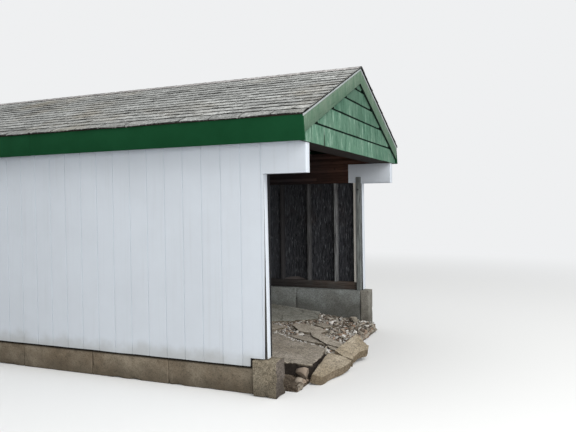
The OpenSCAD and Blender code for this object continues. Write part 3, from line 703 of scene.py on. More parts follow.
def crushed_stone():
    """Chips of pale limestone, grey granite and old concrete, each of its own colour."""
    material, tree, skin = new_material("crushed_stone", 0.88)
    here = place_in_model(tree)
    kinds = shader_node(tree, "ShaderNodeValToRGB", {"Fac": piece_tone(tree)})
    stops = ((0.0, (0.090, 0.068, 0.050, 1)), (0.22, (0.210, 0.185, 0.148, 1)),
             (0.45, (0.350, 0.318, 0.265, 1)), (0.58, (0.250, 0.150, 0.095, 1)),
             (0.66, (0.460, 0.432, 0.385, 1)), (1.0, (0.700, 0.685, 0.650, 1)))
    ramp_stops = kinds.color_ramp.elements
    for k, (place, colour) in enumerate(stops):
        stop = ramp_stops[k] if k < 2 else ramp_stops.new(place)
        stop.position = place
        stop.color = colour
    stone = use_group(tree, aggregate, {"Vector": here, "Scale": 240.0})
    dusty = patchy(tree, here, 30.0, 0.4, 0.15)
    colour = tinted(tree, kinds.outputs["Color"], (0.12, 0.10, 0.08, 1), dusty, 0.4)
    finish_skin(tree, skin, colour, stone["Height"], 0.0015)
    return material


def along_line(line, spread, rng):
    """A random place on a line of points, moved sideways by up to spread."""
    k = rng.integers(len(line) - 1)
    (x0, y0), (x1, y1) = line[k], line[k + 1]
    share = rng.uniform(0, 1)
    return x0 + (x1 - x0) * share + rng.uniform(-spread, spread), y0 + (y1 - y0) * share


rubble_stone = crushed_stone()
chip_count = 5600
crack_chip_count = 90
crack_clear = 0.035
crack_line = ramp_break[2:5]
large_chips = [(1.20, 0.44, 0.095, 0.30), (0.92, 0.66, 0.045, 0.9), (0.62, 0.42, 0.050, 0.5),
               (0.05, 0.26, 0.040, 0.7), (0.80, 0.30, 0.038, 0.2)]


def from_crack(x, y):
    """Distance across to the open crack beside the ramp, or 1 where it doesn't run."""
    gaps = [abs(x - x0 - (y - y0) * (x1 - x0) / (y1 - y0))
            for (x0, y0), (x1, y1) in zip(crack_line[:-1], crack_line[1:]) if min(y0, y1) < y < max(y0, y1)]
    return min(gaps, default=1)


rng = np.random.default_rng(61)
rubble = Piece()
while len(rubble.points) < chip_count:
    x = rng.uniform(-inner_half, inner_half)
    y = rng.uniform(fill_low.y, gable_plane + 2.25)
    if not inside(np.array([[x, y]]), rubble_plan)[0]:
        continue
    size = min(0.006 + rng.exponential(0.0065), 0.036)
    room = min(inner_half - abs(x), y - fill_low.y)
    if room < size or from_crack(x, y) < crack_clear:
        continue
    flat = rng.uniform(0.25, 0.55)
    z = ramp_z(y) - rubble_down - 0.004 + size * flat * rng.uniform(0.1, 0.8)
    sharp_stone(rubble, (x, y, z), size, flat, rng, tones=(0, 0.9) if x > 0.7 else (0.3, 1))
for x, y, size, tone in large_chips:
    y += gable_plane
    z = float(ramp_z(y)) - rubble_down + size * 0.3
    sharp_stone(rubble, (x, y, z), size, 0.5, rng, cuts=11, tones=(tone, tone))
for _ in range(crack_chip_count):
    x, y = along_line(crack_line, 0.0, rng)
    x -= 0.012 + rng.exponential(0.018)
    size = rng.uniform(0.004, 0.013)
    sharp_stone(rubble, (x, y, float(ramp_z(y)) + size * 0.2), size, 0.4, rng, tones=(0.66, 1))
rubble.set_in_place("crushed_rubble", [rubble_stone], "rubble")

bank_stone_count = 620
bank_gap = (-1.280, -0.910)
hollow_stones = [(-1.04, 0.085, 0.072, 0.098), (-1.20, 0.06, 0.045, 0.060), (-1.13, 0.05, 0.020, 0.040),
                 (-0.955, 0.04, 0.028, 0.036), (-1.22, 0.03, 0.022, 0.030), (-1.08, 0.03, 0.016, 0.030)]
bank = Piece()
while len(bank.points) < bank_stone_count:
    x = rng.uniform(-inner_half, inner_half)
    size = min(0.012 + rng.exponential(0.014), 0.055)
    height = float(ramp_z(fill_low.y)) - slab_t + (0.06 if x > rubble_left else -size)
    z = rng.uniform(size * 0.6, max(height, size * 0.7))
    if abs(x) < inner_half - size and not bank_gap[0] < x < bank_gap[1]:
        place = (x, fill_low.y + 0.25 * size, z)
        sharp_stone(bank, place, size, rng.uniform(0.5, 0.9), rng, tones=(0, 0.6))
for x, y, z, size in hollow_stones:
    sharp_stone(bank, (x, fill_low.y + y, z), size, 0.7, rng, cuts=4, tones=(0.48, 0.53))
bank.set_in_place("bank_stones", [rubble_stone], "rubble")

flake_plans = [
    (0.030, 0.014, 0.9, [(0.226, 0.697), (0.298, 0.648), (0.124, 0.436), (-0.102, 0.160), (-0.237, 0.174),
                         (-0.190, 0.347), (0.043, 0.603)]),
    (0.022, 0.006, 0.5, [(-0.096, 0.896), (-0.014, 0.730), (-0.022, 0.613), (-0.165, 0.380), (-0.205, 0.501),
                         (-0.178, 0.674)]),
    (0.030, 0.010, 1.0, [(0.395, 1.000), (0.549, 0.914), (0.498, 0.670), (0.380, 0.538), (0.193, 0.584),
                         (0.160, 0.799)]),
    (0.020, -0.006, 0.3, [(0.089, 0.733), (0.130, 0.649), (-0.131, 0.372), (-0.199, 0.360), (-0.060, 0.604)]),
    (0.024, 0.004, 0.8, [(-0.170, 0.345), (-0.091, 0.291), (-0.220, 0.202), (-0.330, 0.200),
                         (-0.300, 0.264)]),
    (0.026, 0.004, 0.9, [(0.020, 1.300), (0.300, 1.160), (0.240, 1.030), (-0.010, 1.110)]),
    (0.024, 0.000, 0.6, [(0.640, 0.800), (0.800, 0.720), (0.720, 0.560), (0.560, 0.640)]),
]
flakes = Piece()
for k, (thick, rise, tone, outline) in enumerate(flake_plans):
    broken_slab(flakes, in_lake_frame(outline), lambda x, y: ramp_z(y) + rise, thick, 70 + k, cell=0.06,
                spall=0.004, ragged=0.006, undercut=0.004, tone=tone)
flakes.set_in_place("slab_flakes", [ramp_concrete, shaded_broken_concrete], "concrete")

# Wall frame: sills of two rough timbers laid flat on the concrete, studs 406 mm apart, a post
# inside each side of the mouth, and headers built up of eleven flat timbers nailed together.


def timber(piece, low, high, along, rng, ease=0.003, bow=0.0012, cell=0.45, tone=None, turn=None, finish=0):
    """A sawn board or timber between two corners, with eased edges, a slight bow and its own grain.

    Its tone and finish are numbers, or functions of its points and of its faces' middles."""
    low, high = np.array(low, float), np.array(high, float)
    lines = [np.array([low[a], low[a] + ease, high[a] - ease, high[a]]) for a in range(3)]
    lines[along] = stations(low[along], high[along], cell, ease)
    points, faces = box_shell(*lines)
    core = np.clip(points, low + ease, high - ease)
    outward = points - core
    outward /= np.linalg.norm(outward, axis=1, keepdims=True)
    points = core + outward * ease
    order = [along, *[a for a in range(3) if a != along]]
    offset = np.array([rng.uniform(-40, 40), *rng.uniform(0.03, 0.1, 2) * rng.choice([-1, 1], 2)])
    grain = (points - (low + high) / 2)[:, order] + offset
    sway = np.zeros((len(points), 3))
    station = np.column_stack([points[:, along], 0 * points[:, 0], 0 * points[:, 0]])
    for a in order[1:]:
        sway[:, a] = bow * waves(station, 2.5, int(rng.integers(1e6)))
    if tone is None:
        tone = rng.uniform(0.2, 0.8)
    elif callable(tone):
        tone = tone(points)
    if callable(finish):
        finish = finish(points[faces].mean(axis=1))
    points = points + sway
    if turn is not None:
        points = turn(points)
    piece.add(points, faces, grain=grain, tone=tone, finish=finish)


def stretched(tree, where, factors):
    """A place scaled by its own factor in each direction."""
    values = {0: where, 1: factors}
    return shader_node(tree, "ShaderNodeVectorMath", values, operation="MULTIPLY").outputs[0]


def grain_group():
    """Sawn wood: growth rings round the tree's heart, fine fibres along it, and dark knots."""
    takes = [("Vector", "Vector", None), ("Rings", "Float", 170), ("Wander", "Float", 0.02)]
    gives = [("Rings", "Float"), ("Fibre", "Float"), ("Knots", "Float")]
    group, given, result = new_group("wood_grain", takes, gives)
    drift = noise(group, stretched(group, given["Vector"], (0.9, 5.0, 5.0)), 1.0, 3.0)
    part = shader_node(group, "ShaderNodeSeparateXYZ", {0: given["Vector"]}).outputs
    square = sums(group, "ADD", sums(group, "MULTIPLY", part["Y"], part["Y"]),
                  sums(group, "MULTIPLY", part["Z"], part["Z"]))
    radius = sums(group, "MULTIPLY_ADD", drift, given["Wander"], sums(group, "SQRT", square))
    saw = sums(group, "FRACT", sums(group, "MULTIPLY", radius, given["Rings"]))
    group.links.new(sums(group, "POWER", saw, 2.2), result["Rings"])
    thin = stretched(group, given["Vector"], (5.0, 260.0, 260.0))
    group.links.new(noise(group, thin, 1.0, 4.0, rough=0.6), result["Fibre"])
    from_heart, own = grains(group, given["Vector"], 5.5)
    knot = ramp(group, from_heart, 0.045, 0.10, 1.0, 0.0)
    group.links.new(sums(group, "MULTIPLY", knot, ramp(group, own["Red"], 0.5, 0.55)), result["Knots"])
    return group


wood_grain = grain_group()


def grain_place(tree, along):
    """Where the grain is read: a board's own place, or for a CAD piece the frame turned along it."""
    if along is None:
        return shader_node(tree, "ShaderNodeAttribute", attribute_name="grain_at").outputs["Vector"]
    part = shader_node(tree, "ShaderNodeSeparateXYZ", {0: place_in_model(tree)}).outputs
    order = {"x": "XYZ", "y": "YXZ", "z": "ZXY"}[along]
    turned = {k: part[name] for k, name in enumerate(order)}
    return shader_node(tree, "ShaderNodeCombineXYZ", turned).outputs[0]


def bare_timber(name, pale, dark, grey, weathered=0.5, along=None, open_at=None, shade_inside=None):
    """Unpainted softwood: brown where it is sheltered and grey where the weather reaches it.

    Where open_at is given, the grey fades out over the 0.9 m past that place along the boathouse, so the wood
    is darker further in.
    Where a shade is given, the wood takes on its colour from its first place to its second: painted shade
    that deepens further into the boathouse."""
    material, tree, skin = new_material(name, 0.85, 0.08)
    here = place_in_model(tree)
    wood = use_group(tree, wood_grain, {"Vector": grain_place(tree, along), "Rings": 150.0, "Wander": 0.03})
    colour = tinted(tree, pale, dark, wood["Rings"], 0.55)
    colour = tinted(tree, colour, dark, ramp(tree, wood["Fibre"], 0.45, 0.7), 0.5)
    aged = patchy(tree, here, 4.0, weathered, 0.2)
    if open_at is not None:
        reached = ramp(tree, part_of(tree, here, "Y"), open_at, open_at + 0.9, 1.25, 0.0)
        aged = sums(tree, "MULTIPLY", reached, sums(tree, "MULTIPLY_ADD", aged, 0.4, 0.6), clamp=True)
    silver = mixed(tree, ramp(tree, wood["Fibre"], 0.35, 0.65), grey, dark)
    colour = mixed(tree, aged, colour, silver)
    colour = tinted(tree, colour, (0.02, 0.014, 0.01, 1), wood["Knots"], 0.8)
    # Painted shade: the wood goes darker further into the boathouse, away from the mouth.
    if shade_inside:
        start, end, shade_colour = shade_inside
        colour = mixed(tree, ramp(tree, part_of(tree, here, "Y"), start, end, 0.0, 0.85), colour, shade_colour)
    colour = toned(tree, colour, 0.3)
    height = sums(tree, "MULTIPLY_ADD", wood["Rings"], -0.35, wood["Fibre"])
    finish_skin(tree, skin, colour, height, 0.0012)
    return material


mouth_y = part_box("studs_right")[0].y
# Painted shade for the sills and headers, deepening into the boathouse.
sill_shade_inside = (-2.7, -1.5, (0.027, 0.026, 0.027, 1))
header_shade_inside = (-2.7, -1.7, (0.030, 0.027, 0.030, 1))
sill_timber = bare_timber("sill_timber", (0.082, 0.062, 0.050, 1), (0.021, 0.017, 0.015, 1),
                          (0.140, 0.132, 0.122, 1), weathered=0.45, shade_inside=sill_shade_inside)
stud_timber = bare_timber("stud_timber", (0.060, 0.058, 0.060, 1), (0.018, 0.017, 0.018, 1),
                          (0.360, 0.365, 0.365, 1), weathered=0.5, open_at=mouth_y + 0.2)
# A tan stud behind the right post: its own pale wood, made near white as painted light on a face that the
# post shades.
lit_tan_timber = bare_timber("lit_tan_timber", (0.950, 0.915, 0.850, 1), (0.480, 0.450, 0.400, 1),
                         (0.860, 0.850, 0.830, 1), weathered=0.3)
post_timber = bare_timber("post_timber", (0.178, 0.188, 0.180, 1), (0.026, 0.028, 0.027, 1),
                          (0.285, 0.303, 0.292, 1), weathered=0.65)
shaded_post_timber = bare_timber("shaded_post_timber", (0.018, 0.018, 0.020, 1), (0.008, 0.008, 0.009, 1),
                                 (0.026, 0.027, 0.030, 1), weathered=0.5)
header_timber = bare_timber("header_timber", (0.105, 0.052, 0.037, 1), (0.028, 0.014, 0.011, 1),
                            (0.068, 0.048, 0.041, 1), weathered=0.35, shade_inside=header_shade_inside)
# Tie board and lintel: dark old wood made near black as painted shade under the gable's foot.
beam_timber_in_shade = bare_timber("beam_timber_in_shade", (0.034, 0.028, 0.025, 1), (0.009, 0.007, 0.007, 1),
                          (0.042, 0.036, 0.033, 1), weathered=0.35)

rng = np.random.default_rng(81)
for side in ("left", "right", "rear"):
    low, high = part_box("sill_" + side)
    along = 0 if side == "rear" else 1
    half_h = (high.z - low.z) / 2
    sill = Piece()
    for layer in range(2):
        layer_low, layer_high = list(low), list(high)
        layer_low[2] = low.z + layer * half_h
        layer_high[2] = low.z + (layer + 1) * half_h
        joint = layer_low[along] + (0.55, 0.67)[layer] * (layer_high[along] - layer_low[along])
        first_high = list(layer_high)
        first_high[along] = joint
        second_low = list(layer_low)
        second_low[along] = joint
        timber(sill, layer_low, first_high, along, rng, ease=0.004)
        timber(sill, second_low, layer_high, along, rng, ease=0.004)
    sill.set_in_place("sill_timbers_" + side, [sill_timber], "brown_wood", ["sill_" + side])

for node in ("studs_left", "studs_right", "studs_rear"):
    studs = Piece()
    for k, (low, high) in enumerate(cad_solids(node)):
        # The second stud on the right takes the near-white tan timber, as painted light on its shaded face.
        lit_tan_stud = node == "studs_right" and k == 1
        timber(studs, low, high, 2, rng, bow=0.002, finish=int(lit_tan_stud))
    studs.set_in_place(node + "_sawn", [stud_timber, lit_tan_timber], "raw_wood", [node])

posts = Piece()
for low, high in cad_solids("door_posts"):
    timber(posts, low, high, 2, rng, ease=0.004, bow=0.001, finish=int(low[0] < 0))
posts.set_in_place("mouth_posts", [post_timber, shaded_post_timber], "raw_wood", ["door_posts"])

header_plies = 11
shortest_ply = 0.600
for side in ("left", "right"):
    low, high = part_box("header_" + side)
    ply_h = (high.z - low.z) / header_plies
    header = Piece()
    for ply in range(header_plies):
        z = low.z + ply * ply_h
        ends = [low.y, *sorted(low.y + rng.uniform(0.9, 5.2, 2)), high.y]
        if ends[2] - ends[1] < shortest_ply:
            ends.pop(2)
        for start, end in zip(ends[:-1], ends[1:]):
            inset = rng.uniform(0, 0.005)
            x0 = low.x + inset if side == "right" else low.x
            x1 = high.x - inset if side == "left" else high.x
            timber(header, (x0, start, z), (x1, end, z + ply_h), 1, rng, ease=0.004, bow=0.0006,
                   tone=rng.uniform(-0.2, 1.2))
    header.set_in_place("header_plies_" + side, [header_timber], "brown_wood", ["header_" + side])

for node in ("tie_board", "lintel"):
    low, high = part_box(node)
    beam = Piece()
    timber(beam, low, high, 0, rng)
    beam.set_in_place(node + "_sawn", [beam_timber_in_shade], "brown_wood", [node])

# Siding: sheets of grooved plywood 1.22 m wide and 16 mm thick, nailed to the studs from
# outside. They are painted white outside and left bare inside, where they have gone dark and a
# strip of veneer has torn off above the right sill.

groove_pitch = 0.2032
groove_half = 0.005
groove_depth = 0.006
first_groove = 0.023


def sheet_columns(start, end, groove_at):
    """Places across a wall and their depth below its face, with four at each groove."""
    places = [(start, 0.0), (end, 0.0)]
    for at in np.arange(groove_at, end - 0.012, groove_pitch):
        if at > start + 0.012:
            for shift, depth in ((-groove_half, 0), (-groove_half + 0.0012, groove_depth),
                                 (groove_half - 0.0012, groove_depth), (groove_half, 0)):
                places.append((at + shift, depth))
    for at in np.arange(groove_at - groove_pitch / 2, end, groove_pitch):
        if start + 0.03 < at < end - 0.03:
            places.append((at, 0.0))
    places.sort()
    return np.array(places)


def grooved_wall(piece, columns, rows, outer, inner, axis, notch=None, end_cut=0):
    """A sheet wall across x (0) or y (1), between an outer and an inner plane, open in a notch.

    Its first edge is cut back by end_cut at the foot, and by nothing about 1 m higher."""
    at, depth = columns[:, 0], columns[:, 1]
    across, up = np.meshgrid(at, rows, indexing="ij")
    across[0] += end_cut * np.clip(1 - (rows - rows[0] - 0.08) / 1.0, 0, 1)
    sink = np.broadcast_to(depth[:, None], across.shape)
    sign = np.sign(outer - inner)
    flat = np.column_stack([across.ravel(), up.ravel(), 0 * up.ravel()])
    ripple = 0.0012 * (waves(flat, 0.8, 91).reshape(across.shape) - 1)
    skin = outer + sign * (ripple - sink)
    rear = np.full(across.shape, inner)
    lower = up.copy()
    lower[:, 0] += 0.003 * waves(flat, 0.5, 92).reshape(across.shape)[:, 0] + 0.003
    face = np.stack([skin, across, lower] if axis else [across, skin, lower], -1)
    back = np.stack([rear, across, lower] if axis else [across, rear, lower], -1)
    present = None
    if notch:
        end, top_z = notch
        middle_at = (at[1:] + at[:-1]) / 2
        middle_up = (rows[1:] + rows[:-1]) / 2
        present = ~((middle_at[:, None] < end) & (middle_up[None, :] < top_z))
    points, faces, sides = plate(face, back, present)
    grain = np.column_stack([points[:, 2], points[:, axis] + 20, np.full(len(points), 0.05 * sign)])
    piece.add(points, faces, grain=grain, tone=0.5, finish=(sides == 1).astype(int))


def white_paint_material(name="white_paint_siding", foot=0.254, relief=0.0007, streaks=0.5):
    """Flat white exterior paint on rough-sawn plywood: chalky, a little dirty, with dark grooves."""
    material, tree, skin = new_material(name, 0.6)
    here = place_in_model(tree)
    wood = use_group(tree, wood_grain, {"Vector": grain_place(tree, None), "Rings": 60.0, "Wander": 0.08})
    cloud = patchy(tree, here, 1.6, 0.5, 0.25)
    colour = mixed(tree, cloud, (0.640, 0.685, 0.735, 1), (0.600, 0.640, 0.685, 1))
    runs = noise(tree, stretched(tree, here, (22.0, 22.0, 0.9)), 1.0, 5.0)
    streak = ramp(tree, runs, 0.52, 0.75, 0.0, 0.22 * streaks)
    colour = mixed(tree, streak, colour, (0.42, 0.43, 0.43, 1))
    dirt = use_group(tree, rising_dirt, {"Vector": here, "Foot": foot, "Reach": 0.16})["Mask"]
    colour = tinted(tree, colour, (0.30, 0.29, 0.25, 1), dirt, 0.45)
    crack = ramp(tree, wood["Fibre"], 0.68, 0.8, 0.0, 0.35)
    colour = mixed(tree, crack, colour, (0.33, 0.34, 0.35, 1))
    colour = toned(tree, colour, 0.12)
    finish_skin(tree, skin, colour, wood["Fibre"], relief)
    return material


def dark_plywood():
    """The bare back of the siding: nearly black with age, with pale flecks and a wild grain."""
    material, tree, skin = new_material("dark_plywood", 0.88, 0.05)
    wood = use_group(tree, wood_grain, {"Vector": grain_place(tree, None), "Rings": 34.0, "Wander": 0.35})
    colour = mixed(tree, wood["Rings"], (0.045, 0.046, 0.051, 1), (0.016, 0.017, 0.020, 1))
    fleck = ramp(tree, wood["Fibre"], 0.56, 0.72)
    colour = tinted(tree, colour, (0.095, 0.098, 0.106, 1), fleck, 0.75)
    here = place_in_model(tree)
    mottle = noise(tree, stretched(tree, here, (64.0, 64.0, 9.0)), 1.0, 5.0, rough=0.65, bent=0.8)
    colour = mixed(tree, ramp(tree, mottle, 0.54, 0.68, 0.0, 0.8), colour, (0.160, 0.168, 0.182, 1))
    colour = mixed(tree, ramp(tree, mottle, 0.48, 0.36, 0.0, 0.85), colour, (0.006, 0.006, 0.007, 1))
    warm = patchy(tree, here, 3.0, 0.3, 0.15)
    colour = tinted(tree, colour, (0.060, 0.042, 0.034, 1), warm, 0.35)
    # Painted light: the plywood grows paler from 1.0 m to 1.45 m past the mouth, where the left wall keeps
    # light off it.
    painted_light_deeper_in = ramp(tree, part_of(tree, here, "Y"), mouth_y + 1.0, mouth_y + 1.45, 0.0, 0.2)
    colour = mixed(tree, painted_light_deeper_in, colour, (0.150, 0.165, 0.190, 1), how="ADD")
    finish_skin(tree, skin, colour, wood["Fibre"], 0.0012)
    return material


siding_white = white_paint_material()
siding_back = dark_plywood()

wall_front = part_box("siding_left")[0].y
notch_end = left_block_high[1] + 0.038
notch_top = left_stem_h + 0.003
foot_cut = 0.010
for side, sign in (("left", -1), ("right", 1)):
    low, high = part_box("siding_" + side)
    outer, inner = (low.x, high.x) if sign < 0 else (high.x, low.x)
    columns = sheet_columns(low.y, high.y, low.y + first_groove)
    rows = np.linspace(low.z, high.z, 17)
    notch, end_cut = None, 0
    if sign < 0:
        columns = np.array(sorted([*map(tuple, columns), (notch_end, 0.0)]))
        rows = np.array(sorted([*rows, notch_top]))
        notch, end_cut = (notch_end, notch_top), foot_cut
    wall = Piece()
    grooved_wall(wall, columns, rows, outer, inner, 1, notch, end_cut)
    wall.set_in_place("grooved_siding_" + side, [siding_white, siding_back], "white_paint",
                      ["siding_" + side])

torn_veneer = bare_timber("torn_veneer", (0.105, 0.090, 0.086, 1), (0.042, 0.036, 0.034, 1),
                          (0.125, 0.115, 0.112, 1))
veneer_t = 0.0025
veneer_gap = 0.010
veneer_spread = 0.018
veneer_edge = np.array([(-1.62, 0.005), (-1.66, 0.020), (-1.74, 0.034), (-1.84, 0.044), (-1.92, 0.022),
                        (-1.98, 0.006)])
share, at = np.meshgrid([0, 0.5, 1], np.arange(len(veneer_edge)), indexing="ij")
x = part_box("siding_right")[0].x - veneer_gap - veneer_spread * (1 - share) ** 2
y = veneer_edge[at, 0]
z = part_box("sill_right")[1].z + veneer_edge[at, 1] * share
veneer = Piece()
points, faces, _ = plate(np.stack([x - veneer_t, y, z], -1), np.stack([x, y, z], -1))
veneer.add(points, faces, grain=points[:, [1, 2, 0]])
veneer.set_in_place("torn_veneer_strip", [torn_veneer], "raw_wood")

low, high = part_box("siding_rear")
corner_w = 0.089
wall = Piece()
columns = sheet_columns(low.x, high.x, low.x + first_groove + corner_w)
grooved_wall(wall, columns, np.linspace(low.z, high.z, 15), high.y, low.y, 0)
wall.set_in_place("grooved_siding_rear", [siding_white, siding_back], "white_paint", ["siding_rear"])

# Trim at the mouth: painted boards over the ends of the headers and walls, plain cladding on
# the headers' outer faces, and thin panels on their inner faces. The end trims lean off the
# walls towards the foot, where their nails have let go, and the right one has a strip of
# packing behind it, near black as painted shade in the gap behind the trim.

trim_white = white_paint_material("white_paint_boards", foot=0.25, relief=0.0004, streaks=0.8)
rng = np.random.default_rng(101)

for node, along, name in (("header_cladding", 1, "header_cladding_boards"),
                          ("inner_panel", 1, "inner_mouth_panel"),
                          ("corner_boards", 2, "rear_corner_boards"),
                          ("soffits", 1, "soffit_boards")):
    boards = Piece()
    for low, high in cad_solids(node):
        timber(boards, low, high, along, rng, ease=0.0015, bow=0.0004, tone=rng.uniform(0.4, 0.6))
    boards.set_in_place(name, [trim_white], "white_paint", [node])

board_t = 0.019
board_w = 0.089
panel_t = 0.012
outer_x = abs(siding_out)
header_low, header_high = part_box("header_left")
frame_half = abs(header_low.x)
stud_in = abs(header_high.x)
cap_low, cap_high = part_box("header_end_boards")
ends = Piece()
for sign in (-1, 1):
    inner_x = outer_x - board_w if sign < 0 else stud_in - panel_t
    for x0, y0, y1, z1, along in ((inner_x, cap_low.y, header_low.y, cap_high.z, 2),
                                  (max(inner_x, stud_in), header_low.y, wall_front, header_low.z, 1)):
        near, far = sorted((sign * x0, sign * outer_x))
        timber(ends, (near, y0, cap_low.z), (far, y1, z1), along, rng, ease=0.0015, bow=0.0002, tone=0.8)
ends.set_in_place("header_end_caps", [trim_white], "white_paint", ["header_end_boards"])

trim_clearance = 0.0006
packing_t = 0.008
packing_inset = 0.006
left_lean = math.radians(0.52)
right_lean = math.radians(0.30)
trim_edge = bare_timber("trim_edge", (0.060, 0.054, 0.046, 1), (0.018, 0.016, 0.014, 1),
                        (0.080, 0.078, 0.072, 1), weathered=0.6)
trims = Piece()
for sign, inner_x, foot, back_y, tilt in (
        (-1, outer_x - board_w, left_stem_h, wall_front + board_t, left_lean),
        (1, stud_in, right_block_high[2], wall_front, right_lean)):
    hinge = np.array([0, back_y, cap_low.z - trim_clearance])
    top_z = hinge[2]
    foot_z = top_z - (top_z - foot) / math.cos(tilt)
    front_y = back_y - board_t
    x0, x1 = sorted((sign * inner_x, sign * frame_half))

    def lean(points):
        """Tips a trim forward round its top."""
        return (points - hinge) @ np.array(Matrix.Rotation(-tilt, 3, "X")).T + hinge

    # The left trim is darker on its two long edges.
    def darker_edges(middles):
        """Finish 1 on the two long edges, and 0 on the faces."""
        return (np.abs(middles[:, 0] - (x0 + x1) / 2) > (x1 - x0) / 2 - 0.0015).astype(int)

    if sign < 0:
        timber(trims, (x0, front_y, foot_z), (x1, back_y, top_z), 2, rng, ease=0.002, bow=0.0006, tone=0.85,
               turn=lean, finish=darker_edges)
    else:
        # The packing is near black: painted shade in the gap behind the right trim.
        packing_y = back_y - packing_t
        timber(trims, (x0, front_y, foot_z), (x1, packing_y, top_z), 2, rng, ease=0.002, bow=0.0004,
               tone=1.0, turn=lean)
        timber(trims, (x0 + packing_inset, packing_y, foot_z), (x1 - packing_inset, back_y, top_z), 2, rng,
               ease=0.001, bow=0.0004, turn=lean, finish=1)
trims.set_in_place("leaning_end_trims", [trim_white, trim_edge], "white_paint", ["end_trims"])

# Roof frame: rafters with seat cuts over the headers, a ridge board, ceiling ties, rear plates
# and gable studs, all of plain sawn softwood that has darkened, under a deck of plywood.

roof_timber = {}
for along in "xyz":
    roof_timber[along] = bare_timber("roof_timber_" + along, (0.150, 0.105, 0.070, 1),
                                     (0.045, 0.032, 0.024, 1), (0.140, 0.125, 0.110, 1), weathered=0.4,
                                     along=along)
# Painted shade: the deck and gable sheathing are near black, for the shade under the shingles' edge and the
# gable's foot.
board_in_painted_shade = bare_timber("board_in_painted_shade", (0.040, 0.030, 0.024, 1), (0.012, 0.009, 0.008, 1),
                         (0.050, 0.044, 0.038, 1), weathered=0.3, along="y")
for node, wood in (("rear_plates", roof_timber["x"]), ("gable_studs", roof_timber["z"]),
                   ("rafters", roof_timber["x"]), ("ridge_board", roof_timber["y"]),
                   ("ceiling_ties", roof_timber["x"]), ("gable_sheathing", board_in_painted_shade),
                   ("roof_deck_left", board_in_painted_shade), ("roof_deck_right", board_in_painted_shade)):
    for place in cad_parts[node].material_slots:
        place.material = wood

# Gables: wide wood shingles in courses of about 180 mm over sheathing, under green paint that
# has faded and cracked along the grain.

roof_pitch = math.radians(22.62)
slope = math.tan(roof_pitch)
gable_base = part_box("gable_shingles_front")[0].z
gable_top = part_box("gable_shingles_front")[1].z
gable_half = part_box("gable_shingles_front")[1].x
course_ups = [0, 0.191, 0.386, 0.561, 0.711, 0.861, 1.011]
butt_t = 0.010
lap_t = 0.005
rake_d = 0.150
shade_band_h = 0.019
notch_h = 0.038
notch_w = 0.065
hidden_w = 0.026
open_joints = {0: [(-1.492, 0.016, 0.012), (-1.152, 0.050, 0.006), (1.360, 0.014, 0.012)],
               1: [(-0.670, 0.006, 0.012), (-0.357, 0.012, 0.006)],
               2: [(0.106, 0.005, 0.009)]}


def cut_below_roof(outline):
    """The part of an outline of x and z that lies under the deck, on both slopes."""
    for sign in (-1, 1):
        kept = []
        for (x0, z0), (x1, z1) in zip(outline, outline[1:] + outline[:1]):
            over0 = z0 - (gable_top - sign * x0 * slope)
            over1 = z1 - (gable_top - sign * x1 * slope)
            if over0 <= 0:
                kept.append((x0, z0))
            if (over0 < 0 < over1) or (over1 < 0 < over0):
                share = over0 / (over0 - over1)
                kept.append((x0 + (x1 - x0) * share, z0 + (z1 - z0) * share))
        outline = kept
        if len(outline) < 3:
            return []
    return outline


def faded_green(name, fresh, chalk, streaked=0.7, shade_band=False, worn_edge=0.0):
    """Green paint on weathered wood: chalky, with cracks and grey streaks down the grain.

    With the shade band set, it goes black as the tone falls: painted shade under each butt. A worn_edge greys
    it as the tone rises."""
    material, tree, skin = new_material(name, 0.8, 0.02 if shade_band else 0.08)
    here = place_in_model(tree)
    wood = use_group(tree, wood_grain, {"Vector": grain_place(tree, None), "Rings": 90.0, "Wander": 0.05})
    cloud = patchy(tree, here, 3.0, 0.5, 0.2)
    colour = mixed(tree, cloud, fresh, chalk)
    runs = noise(tree, stretched(tree, here, (15.0, 15.0, 4.2)), 1.0, 6.0, rough=0.72)
    own = piece_tone(tree)
    washed = ramp(tree, own, 0.2, 0.55, 0.3 * streaked, streaked)
    pale = sums(tree, "MULTIPLY", ramp(tree, runs, 0.53, 0.63), washed)
    colour = mixed(tree, pale, colour, (0.270, 0.400, 0.315, 1))
    colour = mixed(tree, ramp(tree, runs, 0.47, 0.36, 0.0, streaked), colour, (0.030, 0.095, 0.060, 1))
    bare = ramp(tree, wood["Fibre"], 0.60, 0.78, 0.0, 0.4)
    colour = mixed(tree, bare, colour, (0.27, 0.31, 0.26, 1))
    crack = ramp(tree, wood["Fibre"], 0.42, 0.28, 0.0, 0.75)
    colour = mixed(tree, crack, colour, (0.015, 0.045, 0.030, 1))
    if shade_band:
        # Painted shade: the band under each butt goes black as its tone falls.
        black = ramp(tree, own, 0.49, 0.59, 0.98, 0.0)
        colour = mixed(tree, black, colour, (0.002, 0.006, 0.004, 1))
    else:
        colour = toned(tree, colour, 0.40)
    if worn_edge:
        worn = sums(tree, "MULTIPLY_ADD", runs, 0.5, own)
        colour = mixed(tree, ramp(tree, worn, 0.75, 0.98, 0.0, worn_edge), colour, (0.220, 0.250, 0.200, 1))
    height = sums(tree, "MULTIPLY_ADD", wood["Rings"], 0.3, wood["Fibre"])
    finish_skin(tree, skin, colour, height, 0.002)
    return material


shingle_green = (0.086, 0.188, 0.126, 1)
shingle_chalk = (0.120, 0.220, 0.156, 1)
gable_green = faded_green("faded_green_shingles", shingle_green, shingle_chalk)
gable_shade_band = faded_green("green_shingles_shade_band", shingle_green, shingle_chalk, shade_band=True)
rake_green = faded_green("faded_green_boards", (0.096, 0.168, 0.112, 1), (0.132, 0.192, 0.138, 1),
                         streaked=0.2, worn_edge=0.5)
